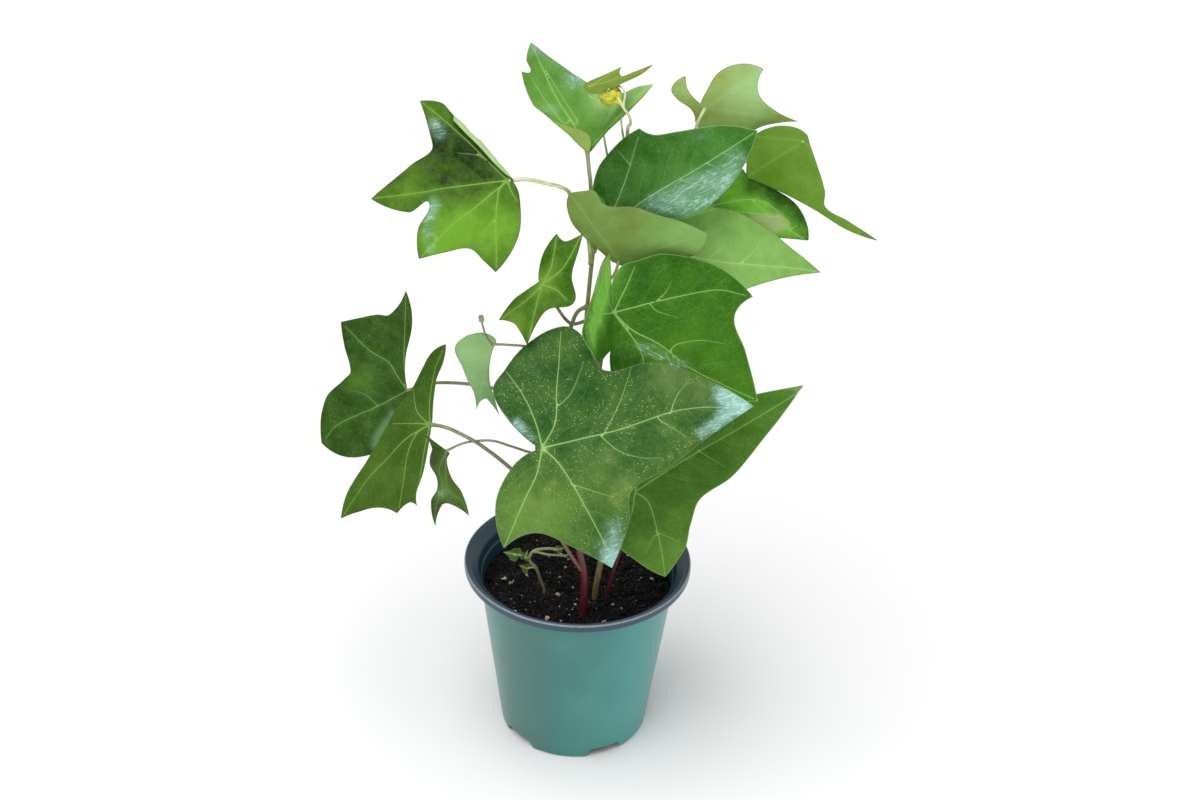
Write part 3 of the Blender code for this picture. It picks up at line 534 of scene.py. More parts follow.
# Each branch: its points in mm, its radii along it, the leaf that it ends at, and its colours along it
STEMS = {
    "stem_tall": [
        ([(3, -29, HOLE_BOTTOM + 0.5), (3, -29, 81), (3, -28, 100), (0, -25, 116), (-3, -14, 147),
          (-2, -2, 177), (0.5, 6, 205), (1, 9, 215), (3, 18, 239), (6, 28, 252), (11, 37, 261),
          (16, 42, 270), (16, 42, 281), (16, 37, 286), (16.5, 28, 290), (16.5, 20, 294), (15.5, 12.5, 299),
          (13, 10.5, 303), (11.5, 14, 304.5), (11, 17.5, 304.5)],
         (1.8, 1.5, 1.15, 1.0, 0.95, 0.9, 0.8, 0.5), None,
         (MAROON, MAROON, RUST, OLIVE, OLIVE, OLIVE, GREY_GREEN, PALE, CREAM)),
        ([(2.5, 17, 236), (2, 17.5, 246), (1, 15, 266), (0, 14, 275)], (0.9, 0.8), "leaf_top",
         (OLIVE, GREY_GREEN)),
        ([(13, 10.5, 303), (13.5, 19, 307), (8.5, 26.5, 308), (3, 24.5, 308)], (0.4, 0.35), "leaf_young",
         (CREAM, CREAM)),
        ([(10, 35, 259), (8, 40, 270), (6, 38, 281), (5, 38, 290)], (0.6, 0.4), None, (GREY_GREEN, PALE)),
        ([(16, 42, 272), (14, 42, 281), (13, 38, 288), (12.5, 34, 294)], (0.6, 0.4), None, (PALE, CREAM)),
        ([(2, 15, 232), (0, 17.5, 245), (-5, 14, 257), (-8, 13, 265), (-12, 9, 269), (-17, 4, 272),
          (-25, -5, 277)], (0.9, 0.85), "leaf_left_top", (GREEN, PALE, CREAM, CREAM)),
        ([(7, 30, 254), (18, 38, 259), (32, 43, 266), (43, 46, 278), (46, 46, 286)], (0.8, 0.65), "leaf_pale",
         (OLIVE, PALE, CREAM)),
        ([(3, 17, 237), (6, 24, 242.5)], (0.9, 0.8), "leaf_dark", (OLIVE, GREEN)),
        ([(1, 7, 209), (-6, 0, 211), (-12, -3, 220), (-16, -3, 227)], (0.8, 0.6), "leaf_small_middle",
         (OLIVE, DUSKY)),
        ([(1, 9, 215), (-4, 4, 213), (-8, -8, 202), (-13, -24, 182), (-16, -37, 171)], (0.9, 0.8),
         "leaf_front", (OLIVE, GREEN)),
        ([(-1, 1, 184), (-11, -8, 198), (-22, -12, 205), (-32, -14, 207)], (0.7, 0.5), "leaf_small_pale",
         (DUSKY, GREY_GREEN)),
        ([(-38, -15, 207.5), (-40.8, -16, 212), (-42, -17, 217), (-42.6, -17.4, 220.5)], (0.45, 0.4), None,
         (DUSKY, DUSKY, GREY_GREEN)),
        ([(-42.4, -17.3, 219.3), (-42.7, -17.5, 221.6)], (0.75, 0.7), None, (GREEN, GREY_GREEN)),
        ([(-2, -6, 167), (-16, -7, 178), (-36, -2, 179), (-50, 4, 178), (-64, 9, 175.5), (-71, 12, 172)],
         (0.8, 0.7), "leaf_left_dark", (DUSKY, DUSKY, GREY_GREEN)),
        ([(2, -28, 103), (-3, -27, 110), (-10, -25, 122), (-19, -22, 138), (-30, -21, 150.5),
          (-43, -18, 160), (-54, -14.5, 164.5), (-60, -13, 166)], (0.9, 0.8), "leaf_left_low",
         (RUST, DUSKY, DUSKY, GREY_GREEN)),
        ([(-3, -13, 149), (-12, -17, 155), (-21, -18, 157), (-30, -18, 160), (-39, -17, 162),
          (-50, -16, 160)], (0.6, 0.5), "leaf_small_low", (DUSKY, GREY_GREEN)),
    ],
    "stem_right": [
        ([(8.5, -14, HOLE_BOTTOM + 0.5), (8.5, -14, 81), (10, -13, 94), (13, -11, 117), (13.5, -7, 142),
          (12, -2, 164), (8, -1, 184), (3, -0.5, 205), (3.5, 4, 218), (6, 12, 228), (9, 22, 232),
          (17, 32, 233)], (1.5, 1.2, 1.0, 0.9), "leaf_light", (RUST, OLIVE, OLIVE, OLIVE, GREEN, GREEN)),
        ([(3.5, 3, 216), (7, 8, 223), (12, 12, 229)], (0.7, 0.6), "leaf_olive", (OLIVE, GREEN)),
        ([(7, -1, 189), (9, 2, 202), (11, 5, 210)], (0.8, 0.7), "leaf_centre", (OLIVE, OLIVE)),
        ([(9, 22, 232), (14, 34, 232), (26, 44, 236), (42, 51, 242)], (0.8, 0.7), "leaf_shaded",
         (GREEN, PALE)),
        ([(14, 34, 232), (30, 54, 246), (56, 63, 258), (78, 56, 268), (88, 47, 277)], (0.8, 0.6),
         "leaf_back", (GREEN, PALE)),
    ],
    "stem_thin": [
        ([(14, -15, HOLE_BOTTOM + 0.5), (14, -15, 81), (16, -14, 91), (20, -12, 108), (23, -12, 126)],
         (0.9, 0.8), "leaf_low", (MAROON, MAROON, RUST, OLIVE)),
    ],
    "sprout": [
        ([(-15, -12, HOLE_BOTTOM + 0.5), (-15, -12, 79), (-17, -12, 86), (-19, -13, 93), (-22, -14, 98),
          (-20, -14, 103), (-14, -14, 104.5), (-9, -14, 104)], (0.9, 0.6), None,
         (DUSKY, DUSKY, GREY_GREEN, GREY_GREEN)),
        ([(-20, -14, 103), (-14, -15, 102), (-9, -14, 101), (-5, -13, 100)], (0.6, 0.5), None,
         (GREEN, GREY_GREEN)),
        ([(-22, -14, 98), (-25, -15, 101), (-29, -16, 102)], (0.6, 0.5), None, (GREEN, GREEN)),
        ([(-19, -13, 93), (-21, -14, 94), (-23, -14, 93)], (0.5, 0.4), None, (GREY_GREEN, GREEN)),
    ],
}
STEM_SIDES = 14
STEM_SPACING = 1.2
NODE_SWELL = 0.45
NODE_LENGTH = 1.6

# Small blades on the sprout and the bud: base, face, heading and size
SPROUT_LEAVES = [
    ((-28, -16, 102), (-10, 60), 175, 6.0),
    ((-23, -14, 93), (10, 40), 150, 4.2),
    ((-9, -14, 104), (0, 50), 20, 3.4),
    ((-24, -15, 99.5), (20, 35), 60, 4.0),
    ((-26, -15, 101), (-30, 20), 110, 3.6),
]
SMALL_EDGE = [(-160, 0.1), (-110, 0.5), (-60, 0.55), (-35, 0.5), (0, 1.0, TIP), (35, 0.5), (60, 0.55),
              (110, 0.5), (160, 0.1)]
SPROUT_LOOK = Look(((38, 62, 16), (88, 116, 46)), ((90, 112, 52), (130, 148, 84)), quilt=0.05, wave=0.2)

BUD_AT = np.array((8.0, 22.0, 304.5))
BUD_LEAVES = [((-20, 30), 165, 9.0), ((20, 60), 60, 7.0), ((0, 40), -40, 8.0)]
BUD_LOOK = Look(((176, 184, 34), (222, 222, 78)), ((176, 184, 54), (216, 218, 96)), quilt=0.05, wave=0.15,
                dots=0.0, vein_colour=(228, 228, 130))
# Overlapping scales of the bud: place from the middle, radii and lean about the line of sight
BUD_SCALES = [
    ((-2.6, -0.6, 0.2), (2.6, 1.7, 2.1), 30), ((0.4, -1.2, 0.6), (2.4, 1.6, 2.3), -15),
    ((2.6, -0.4, -0.2), (2.3, 1.6, 1.9), -40), ((-0.8, -1.6, -1.2), (2.2, 1.3, 1.5), 10),
    ((0.6, 0.8, 0.8), (2.8, 1.8, 1.9), 70),
]
# Tendrils of the bud: points from its middle
BUD_TENDRILS = [
    [(-3.5, -1, -1), (-5.5, -1.6, -1.6), (-7.5, -1.4, -1.2), (-9, -1, -0.2)],
    [(2, -1, -1), (3.6, -1.2, -2.4), (5.0, -0.6, -3.8), (6.4, 0.4, -4.6)],
    [(-1, -1.6, 1), (-1.6, -2.4, 2.4), (-0.6, -2.8, 3.2)],
]
TENDRIL_RADIUS = 0.32
TENDRIL_TIP = (236, 240, 170)
BUD_YELLOW = (222, 222, 74)
SCALE_RINGS = 16
SCALE_SIDES = 22


def smooth_line(points, spacing):
    """Catmull-Rom line through the points, in steps of about the spacing."""
    points = [np.array(point, float) for point in points]
    ends = [points[0] * 2 - points[1]] + points + [points[-1] * 2 - points[-2]]
    line = []
    for a, b, c, d in zip(ends, ends[1:], ends[2:], ends[3:]):
        steps = max(2, round(np.linalg.norm(c - b) / spacing))
        for k in range(steps):
            t = k / steps
            line.append(0.5 * (2 * b + (c - a) * t + (2 * a - 5 * b + 4 * c - d) * t ** 2
                               + (3 * b - a - 3 * c + d) * t ** 3))
    line.append(points[-1])
    return np.array(line)


def distance_to(points, line):
    """Distance of each point to a line, and how far along the line its nearest place is, 0 to 1."""
    start, way = line[:-1], np.diff(line, axis=0)
    length = np.maximum((way ** 2).sum(1), 1e-12)
    reach = points[:, None, :] - start[None]
    share = np.clip((reach * way[None]).sum(2) / length, 0.0, 1.0)
    gap = np.linalg.norm(reach - share[..., None] * way[None], axis=2)
    nearest = gap.argmin(1)
    rows = np.arange(len(points))
    return gap[rows, nearest], (nearest + share[rows, nearest]) / len(start)


def inside(points, edge):
    """True for each flat point inside a closed line."""
    x, y = points[:, :1], points[:, 1:]
    start, end = edge, np.roll(edge, -1, axis=0)
    crosses = (start[:, 1] > y) != (end[:, 1] > y)
    rise = np.where(start[:, 1] == end[:, 1], 1.0, end[:, 1] - start[:, 1])
    at = start[:, 0] + (y - start[:, 1]) / rise * (end[:, 0] - start[:, 0])
    return (crosses & (x < at)).sum(1) % 2 == 1


def closed(line):
    return np.vstack((line, line[:1]))


def main_veins(leaf, look, spacing):
    """Main veins from the base: the look's own, or one straight to each tip of the edge."""
    paths = look.veins or [[(item[0], item[1] - 1.0)] for item in leaf.edge if len(item) > 2]
    return [smooth_line([(0.0, 0.0)] + [polar(*point) for point in path], spacing) for path in paths]


def ruled_side_veins(mains, drawn, edge, spacing):
    """Side veins that leave each main vein in turn on its two sides and curve toward its tip."""
    veins = []
    for line in mains:
        length = np.linalg.norm(np.diff(line, axis=0), axis=1).sum()
        others = [other for other in mains if other is not line] + drawn
        for share in SIDE_SHARES:
            for hand in (-1, 1):
                i = min(int((share + hand * SIDE_STAGGER) * (len(line) - 1)), len(line) - 2)
                way = unit(line[i + 1] - line[i])
                steps = int(length * SIDE_REACH * (SIDE_FALL - share) / spacing)
                points = [line[i]]
                taken = np.vstack([line[:1], *others, *veins])
                for k in range(steps):
                    turn = math.radians(hand * SIDE_ANGLE * (1 - SIDE_CURVE * k / max(steps, 1)))
                    heading = np.array((way[0] * math.cos(turn) - way[1] * math.sin(turn),
                                        way[0] * math.sin(turn) + way[1] * math.cos(turn)))
                    following = points[-1] + heading * spacing
                    here = following[None]
                    edge_gap = distance_to(here, closed(edge))[0][0]
                    if not inside(here, edge)[0] or edge_gap < EDGE_CLEARANCE:
                        break
                    if k > 0 and np.linalg.norm(taken - following, axis=1).min() < VEIN_CLEARANCE:
                        break
                    points.append(following)
                if len(points) > SIDE_FEWEST:
                    veins.append(np.array(points))
    return veins


def blade_points(leaf, edge, lines, spacing):
    """Flat points inside the edge: rows along each crease, then an even grid clear of every line."""
    rows = []
    for direction, distance, turn, radius in leaf.creases:
        bend = radius * math.radians(abs(turn))
        if bend > BEND_LIMIT:
            continue
        normal, along = polar(direction, 1.0), polar(direction + 90, 1.0)
        steps = np.arange(-leaf.length, leaf.length, spacing)
        for share in np.linspace(0.0, 1.0, CREASE_ROWS):
            rows.append(normal * (distance + bend * share) + along * steps[:, None])
    count = int(leaf.length / spacing) + 1
    j, i = np.mgrid[-count:count + 1, -count:count + 1]
    grid = np.stack(((i + 0.5 * (j % 2)) * spacing, j * spacing * ROW_SHARE), -1).reshape(-1, 2)
    if rows:
        rows = np.vstack(rows)
        rows = rows[inside(rows, edge)]
    if len(rows):
        gaps = np.array([np.linalg.norm(rows - point, axis=1).min() for point in grid])
        grid = np.vstack((rows, grid[gaps > spacing * CLEAR_OF_ROWS]))
    grid = grid[inside(grid, edge)]
    grid = grid[distance_to(grid, closed(edge))[0] > spacing * CLEAR_OF_EDGE]
    for line in lines:
        grid = grid[distance_to(grid, line)[0] > spacing * CLEAR_OF_VEINS]
    return grid


def waves(flat, seed):
    """Slow unevenness of a blade: crossing waves in seeded directions."""
    numbers = np.random.default_rng(seed)
    total = np.zeros(len(flat))
    for length in WAVE_LENGTHS:
        turn, phase = numbers.uniform(0, 2 * math.pi, 2)
        way = np.array((math.cos(turn), math.sin(turn)))
        total += np.sin(2 * math.pi * (flat @ way) / length + phase) * length / WAVE_LENGTHS[0]
    return total


def patches(flat, places):
    """Sum of soft round patches, each (angle, distance, radius, amount)."""
    total = np.zeros(len(flat))
    for angle, distance, radius, amount in places:
        gap = np.linalg.norm(flat - polar(angle, distance), axis=1)
        total += amount * np.exp(-(gap / radius) ** 2)
    return total


def vertex_normals(points, triangles):
    corners = points[triangles]
    flat = np.cross(corners[:, 1] - corners[:, 0], corners[:, 2] - corners[:, 0])
    normals = np.zeros_like(points)
    for k in range(3):
        np.add.at(normals, triangles[:, k], flat)
    return normals / np.maximum(np.linalg.norm(normals, axis=1, keepdims=True), 1e-12)


def vein_gaps(flat, lines, widths):
    """Distance of each point to the nearest line, in mm and in widths of that vein."""
    gaps, ratios = [np.full(len(flat), FAR)], [np.full(len(flat), FAR)]
    for line in lines:
        gap, share = distance_to(flat, line)
        gaps.append(gap)
        ratios.append(gap / (widths[0] + (widths[1] - widths[0]) * share))
    return np.min(gaps, axis=0), np.min(ratios, axis=0)


def blade_shape(leaf, look, spacing, seed):
    """Closed thin blade with its veins: points, faces and the values that its material reads."""
    edge = leaf.outline(spacing)
    mains = main_veins(leaf, look, spacing)
    drawn = []
    for path in look.side_veins:
        points = [polar(*point) for point in path]
        trunk = np.vstack(mains)
        foot = trunk[np.linalg.norm(trunk - points[0], axis=1).argmin()]
        drawn.append(smooth_line([foot, *points], spacing))
    ruled = ruled_side_veins(mains, drawn, edge, spacing)
    sides = drawn + ruled
    grid = blade_points(leaf, edge, mains + sides, spacing)

    flat, links = [*edge], []
    for line in mains + sides:
        links += [(len(flat) + k, len(flat) + k + 1) for k in range(len(line) - 1)]
        flat += [*line]
    flat += [*grid]
    result = delaunay_2d_cdt([Vector(point) for point in flat], links, [list(range(len(edge)))],
                             CUT_INSIDE, MERGE_DISTANCE)
    flat = np.array([tuple(point) for point in result[0]])
    triangles = np.array(result[2])

    main_gap, main_ratio = vein_gaps(flat, mains, MAIN_WIDTHS)
    drawn_gap, drawn_ratio = vein_gaps(flat, drawn, DRAWN_WIDTHS)
    ruled_gap, ruled_ratio = vein_gaps(flat, ruled, RULED_WIDTHS)
    vein_gap = np.minimum(main_gap, np.minimum(drawn_gap, ruled_gap) * 1.6 + 0.4)
    edge_gap = distance_to(flat, closed(edge))[0]

    size = min(leaf.length / RELIEF_LENGTH, RELIEF_MOST)
    lift = look.quilt * size * (1 - np.exp(-vein_gap / QUILT_REACH))
    lift += look.wave * size * waves(flat, seed)
    middle = leaf.place(flat, lift)
    normals = vertex_normals(middle, triangles)
    half = (HALF_RIM + (HALF_THICK - HALF_RIM) * np.clip(edge_gap / RIM_TAPER, 0, 1))[:, None]

    pairs = {(a, b) for a, b in triangles[:, [0, 1, 1, 2, 2, 0]].reshape(-1, 2).tolist()}
    border = sorted((a, b) for a, b in pairs if (b, a) not in pairs)
    rim = sorted({a for a, b in border})
    count = len(flat)
    rim_index = {point: 2 * count + k for k, point in enumerate(rim)}
    outward = np.zeros_like(middle)
    for a, b in border:
        outward[[a, b]] += unit(np.cross(middle[b] - middle[a], normals[a]))
    outward = outward[rim] / np.maximum(np.linalg.norm(outward[rim], axis=1, keepdims=True), 1e-9)
    points = np.vstack((middle + normals * half, middle - normals * half, middle[rim] + outward * RIM_REACH))

    faces = [*triangles.tolist(), *(triangles[:, ::-1] + count).tolist()]
    for a, b in border:
        faces.append([b, a, rim_index[a], rim_index[b]])
        faces.append([rim_index[b], rim_index[a], a + count, b + count])

    def spread(values):
        return np.concatenate((values, values, values[rim]))

    # The tone is painted light and shade, with some of the blade's own lighter and darker colour; the gloss
    # patches mark where a painted reflection lies.
    values = {
        "main_vein": spread(np.minimum(main_ratio, drawn_ratio)), "side_vein": spread(ruled_ratio),
        "edge_gap": spread(edge_gap),
        "tone": spread(look.tone + patches(flat, look.tones)),
        "pale": spread(patches(flat, look.pales)),
        "bloom": spread(patches(flat, look.blooms)),
        "under": np.concatenate((np.zeros(count), np.ones(count), np.full(len(rim), 0.5))),
        "flat": np.column_stack((spread(flat), np.full(2 * count + len(rim), seed * BLADE_SHIFT))),
    }
    return points, faces, values


def add_object(name, data):
    item = bpy.data.objects.new(name, data)
    bpy.context.collection.objects.link(item)
    return item


def mesh_object(name, points, faces):
    """Object with a new mesh, from points in mm."""
    mesh = bpy.data.meshes.new(name)
    mesh.from_pydata((np.asarray(points) * MM).tolist(), [], faces)
    return add_object(name, mesh)


def apply_modifier(item, modifier):
    """Turns what a modifier makes of an object into its plain mesh."""
    shape = bpy.data.meshes.new_from_object(item.evaluated_get(bpy.context.evaluated_depsgraph_get()))
    item.modifiers.remove(modifier)
    item.data = shape


def declare(piece, nodes):
    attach(piece, "root")
    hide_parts(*nodes)


def make_piece(name, points, faces, values, material, nodes, slot):
    """Smooth piece from points in mm, with the values that its material reads."""
    piece = mesh_object(name, points, faces)
    for key, value in values.items():
        kind, store = ATTRIBUTE_KINDS[value.shape[1] if value.ndim == 2 else 1]
        layer = piece.data.attributes.new(key, kind, "POINT")
        layer.data.foreach_set(store, value.astype(np.float32).ravel())
    piece.data.shade_smooth()
    piece.data.materials.append(material)
    declare(piece, nodes)


class Wire:
    """Output of a node. Arithmetic on it adds math nodes to its tree."""

    def __init__(self, tree, socket):
        self.tree = tree
        self.socket = socket

    def maths(self, operation, first, second=0.0):
        return add_node(self.tree, "ShaderNodeMath", {0: first, 1: second}, operation=operation)[0]

    def __add__(self, other):
        return self.maths("ADD", self, other)

    def __sub__(self, other):
        return self.maths("SUBTRACT", self, other)

    def __rsub__(self, other):
        return self.maths("SUBTRACT", other, self)

    def __mul__(self, other):
        return self.maths("MULTIPLY", self, other)

    def __truediv__(self, other):
        return self.maths("DIVIDE", self, other)

    def __rtruediv__(self, other):
        return self.maths("DIVIDE", other, self)

    def __abs__(self):
        return self.maths("ABSOLUTE", self)

    def clamped(self):
        """The same result, held between 0 and 1 by its own node."""
        self.socket.node.use_clamp = True
        return self

    def ramp(self, low, high, start=0.0, end=1.0):
        """Smooth step from start to end while the value goes from low to high."""
        values = {"Value": self, "From Min": low, "From Max": high, "To Min": start, "To Max": end}
        return add_node(self.tree, "ShaderNodeMapRange", values, interpolation_type="SMOOTHSTEP")["Result"]


class Node:
    """Node whose outputs are read as wires."""

    def __init__(self, tree, item):
        self.tree = tree
        self.item = item

    def __getitem__(self, key):
        return Wire(self.tree, self.item.outputs[key])


def add_node(tree, kind, inputs=None, **settings):
    """Node with its settings, and with its inputs set to values or linked to wires."""
    item = tree.nodes.new(kind)
    for key, value in settings.items():
        setattr(item, key, value)
    for key, value in (inputs or {}).items():
        if isinstance(value, Wire):
            tree.links.new(value.socket, item.inputs[key])
        else:
            item.inputs[key].default_value = value
    return Node(tree, item)


def connect(sockets, wires):
    for key, wire in wires.items():
        wire.tree.links.new(wire.socket, sockets[key])


def new_tree(name, kind, inputs, outputs):
    """Node group with its inputs and outputs, each named with the kind of its socket or a default."""
    tree = bpy.data.node_groups.new(name, kind)
    for way, sockets in (("INPUT", inputs), ("OUTPUT", outputs)):
        for title, default in sockets.items():
            plain = isinstance(default, str)
            socket_kind = default if plain else type(default).__name__.title()
            socket = tree.interface.new_socket(title, in_out=way, socket_type="NodeSocket" + socket_kind)
            if not plain:
                socket.default_value = default
    return tree, Node(tree, tree.nodes.new("NodeGroupInput")), tree.nodes.new("NodeGroupOutput").inputs


def shader_group(name, inputs, outputs):
    return new_tree(name, "ShaderNodeTree", inputs, outputs)


def floats(*titles):
    return dict.fromkeys(titles, "Float")


def place_group(tree, group, inputs):
    return add_node(tree, "ShaderNodeGroup", inputs, node_tree=group)


def paint(colour):
    return (*srgb(*colour), 1.0)


def mix(factor, first, second, blend="MIX"):
    """Colour between two, of which the first, or else the factor, is a wire."""
    tree = (first if isinstance(first, Wire) else factor).tree
    return add_node(tree, "ShaderNodeMix", {0: factor, 6: first, 7: second}, data_type="RGBA",
                    blend_type=blend)[2]


def vector(operation, first, second=None):
    """Vector math: a number for DISTANCE and LENGTH, otherwise a vector."""
    key = "Scale" if operation == "SCALE" else 1
    inputs = {0: first} if second is None else {0: first, key: second}
    result = "Value" if operation in ("DISTANCE", "LENGTH") else "Vector"
    return add_node(first.tree, "ShaderNodeVectorMath", inputs, operation=operation)[result]


def noise(place, scale, detail, **more):
    values = {"Vector": place, "Scale": scale, "Detail": detail, **more}
    return add_node(place.tree, "ShaderNodeTexNoise", values)


def cells(place, scale, feature="F1"):
    return add_node(place.tree, "ShaderNodeTexVoronoi", {"Vector": place, "Scale": scale}, feature=feature)


def attribute(tree, name, output="Fac"):
    return add_node(tree, "ShaderNodeAttribute", attribute_name=name)[output]


def vein_group():
    """Lines and soft halo of the veins, from distances in vein widths."""
    tree, given, out = shader_group("Vein lines", floats("Main", "Side"),
                                    floats("Main line", "Side line", "Halo"))
    connect(out, {"Main line": given["Main"].ramp(0.5, 1.5, 1.0, 0.0),
                  "Side line": given["Side"].ramp(0.4, 1.8, 1.0, 0.0),
                  "Halo": given["Main"].ramp(0.5, 9.0, 1.0, 0.0)})
    return tree


def blade_grain_group():
    """Fine pattern of a blade in its own flat millimetres: mottle, vein net, dots, crests and height."""
    tree, given, out = shader_group(
        "Blade grain", {"Place": "Vector", **floats("Cell size", "Crinkle turn")},
        floats("Mottle", "Net", "Dots", "Specks", "Wrinkle", "Crinkle", "Height"))
    place = given["Place"]
    mottle = noise(place, 0.11, 4.0, Roughness=0.6)["Fac"]
    bent = vector("ADD", place, vector("SCALE", noise(place, 0.5, 2.0)["Color"], 1.2))
    net = cells(bent, 1.0 / given["Cell size"], "DISTANCE_TO_EDGE")["Distance"].ramp(0.0, 0.10, 1.0, 0.0)
    dots = cells(place, 1.05)
    chosen = add_node(tree, "ShaderNodeSeparateColor", {0: dots["Color"]})[0].ramp(0.22, 0.36)
    round_dots = dots["Distance"].ramp(0.10, 0.24, 1.0, 0.0) * chosen
    turn = add_node(tree, "ShaderNodeCombineXYZ", {"Z": given["Crinkle turn"]})["Vector"]
    combed = add_node(tree, "ShaderNodeMapping", {"Vector": place, "Rotation": turn,
                                                  "Scale": (1.0, 0.22, 1.0)})["Vector"]
    crests = noise(combed, 0.60, 2.0, Distortion=0.5)["Fac"]
    wrinkle = noise(bent, 0.42, 2.0, Distortion=1.2)["Fac"]
    fine = noise(place, 1.6, 3.0)["Fac"]
    connect(out, {"Mottle": mottle, "Net": net, "Dots": round_dots * mottle.ramp(0.40, 0.56),
                  "Specks": cells(bent, 1.5)["Distance"].ramp(0.12, 0.28, 1.0, 0.0), "Wrinkle": wrinkle,
                  "Crinkle": abs(crests - 0.5).ramp(0.0, 0.06, 1.0, 0.0),
                  "Height": fine * 0.4 - net * 0.4 + wrinkle * 3.2})
    return tree


def blade_face_group():
    """Colour of one face of a blade."""
    tree, given, out = shader_group(
        "Blade face",
        {"Shade": "Color", "Light": "Color", "Vein": "Color",
         **floats("Tone", "Mottle", "Main line", "Side line", "Halo", "Net", "Dots", "Net amount",
                  "Vein amount")},
        {"Colour": "Color"})
    tone = (given["Tone"] + given["Halo"] * 0.16 + (given["Mottle"] - 0.5) * 1.1).clamped()
    colour = mix(tone, given["Shade"], given["Light"])
    for strength in (given["Net"] * given["Net amount"], given["Side line"] * (given["Vein amount"] * 0.14),
                     given["Main line"] * given["Vein amount"]):
        colour = mix(strength, colour, given["Vein"])
    connect(out, {"Colour": mix(given["Dots"] * 0.95, colour, paint(DOT_COLOUR))})
    return tree


def spot_group():
    """Soft round spot at a flat place."""
    tree, given, out = shader_group("Round spot", {"Place": "Vector", "Centre": "Vector", "Radius": "Float"},
                                    floats("Mask"))
    gap = vector("DISTANCE", given["Place"], given["Centre"])
    connect(out, {"Mask": (gap / given["Radius"]).ramp(0.5, 1.2, 1.0, 0.0)})
    return tree


def grain_group():
    """Fine speckle and slow cloud at a given scale."""
    tree, given, out = shader_group(
        "Speckle and cloud", {"Place": "Vector", **floats("Fine scale", "Cloud scale")},
        floats("Speckle", "Cloud"))
    connect(out, {"Speckle": noise(given["Place"], given["Fine scale"], 4.0, Roughness=0.65)["Fac"],
                  "Cloud": noise(given["Place"], given["Cloud scale"], 3.0)["Fac"]})
    return tree


VEIN_LINES = vein_group()
BLADE_GRAIN = blade_grain_group()
BLADE_FACE = blade_face_group()
ROUND_SPOT = spot_group()
SPECKLE = grain_group()


def speckle_and_cloud(tree, fine, slow):
    """Place on the piece, with the speckle and the cloud there."""
    place = add_node(tree, "ShaderNodeTexCoord")["Object"]
    grain = place_group(tree, SPECKLE, {"Place": place, "Fine scale": fine, "Cloud scale": slow})
    return place, grain["Speckle"], grain["Cloud"]


def new_material(name, specular, coat=0.0, coat_roughness=0.2):
    material = bpy.data.materials.new(name)
    material.use_nodes = True
    sockets = material.node_tree.nodes["Principled BSDF"].inputs
    sockets["Specular IOR Level"].default_value = specular
    sockets["Coat Weight"].default_value = coat
    sockets["Coat Roughness"].default_value = coat_roughness
    return material, material.node_tree, sockets


def set_shader(sockets, colour, roughness, height, bump_strength, bump_distance):
    bump = add_node(colour.tree, "ShaderNodeBump",
                    {"Strength": bump_strength, "Distance": bump_distance * MM, "Height": height})
    connect(sockets, {"Base Color": colour, "Roughness": roughness, "Normal": bump["Normal"]})


def leaf_material(name, look, cell=LEAF_CELL):
    """Ivy leaf: veins, vein net, mottle, dots, specks, pale patches, rim, painted light and shade, and a
    painted crinkled bluish reflection with painted highlights on its crests, on two faces.
    """
    material, tree, sockets = new_material(name, specular=0.10, coat_roughness=0.12)
    flat = attribute(tree, "flat", "Vector")
    # Tone: painted light and shade, with some of the blade's own lighter and darker colour.
    tone, under = attribute(tree, "tone"), attribute(tree, "under")
    above = 1.0 - under
    grain = place_group(tree, BLADE_GRAIN, {"Place": flat, "Cell size": cell,
                                            "Crinkle turn": math.radians(look.crinkle)})
    veins = place_group(tree, VEIN_LINES, {"Main": attribute(tree, "main_vein"),
                                           "Side": attribute(tree, "side_vein")})
    main_line, side_line, mottle = veins["Main line"], veins["Side line"], grain["Mottle"]
    dotted = grain["Dots"] * (1.3 - tone * 1.3).clamped()
    faces = []
    upper, lower = (look.upper, 0.06, 0.66, look.dots), (look.lower, 0.05, 0.30, 0.0)
    for (shade, light), net, vein, dots in (upper, lower):
        faces.append(place_group(tree, BLADE_FACE, {
            "Shade": paint(shade), "Light": paint(light), "Vein": paint(look.vein_colour), "Tone": tone,
            "Mottle": mottle, "Main line": main_line, "Side line": side_line, "Halo": veins["Halo"],
            "Net": grain["Net"], "Dots": dotted * dots, "Net amount": net, "Vein amount": vein})["Colour"])
    colour = mix(under, *faces)
    # Pale patches: in places the blade's own paler colour, in places painted light.
    pale = mix(main_line * 0.5, paint(look.pale), paint(look.vein_colour))
    colour = mix((attribute(tree, "pale") * (mottle + 0.5)).clamped() * above, colour, pale)
    for angle, distance, radius in look.specks:
        level = vector("MULTIPLY", flat, (1.0, 1.0, 0.0))
        spot = place_group(tree, ROUND_SPOT, {"Place": level, "Centre": (*polar(angle, distance), 0.0),
                                              "Radius": radius})["Mask"] * above
        colour = mix(spot * 0.12, colour, paint(SPECKED_GROUND))
        colour = mix(spot * grain["Specks"] * 0.8, colour, paint(SPECK_COLOUR))
    colour = mix(attribute(tree, "edge_gap").ramp(0.02, 0.40, 0.5, 0.0), colour, paint(look.rim_colour))
    # Painted reflection: a crinkled bluish gloss where the gloss patches lie, with painted highlights on its
    # crests; the coat follows the same mask.
    broken = (grain["Wrinkle"] - 0.5) * 0.45
    shine = (attribute(tree, "bloom") + broken).ramp(0.08, 1.05) * above
    crests = shine * grain["Crinkle"]
    colour = mix(shine * look.gloss, colour, paint(look.gloss_colour))
    colour = mix(crests * look.gloss, colour, paint(CREST_HIGHLIGHT))
    connect(sockets, {"Coat Weight": shine * 0.6 + 0.03})
    lines = (main_line + side_line * 0.6) * (under - 0.6)
    set_shader(sockets, colour, mottle * 0.25 + 0.30 + under * 0.15, grain["Height"] + lines + crests * 1.6,
               0.55, 0.22)
    return material


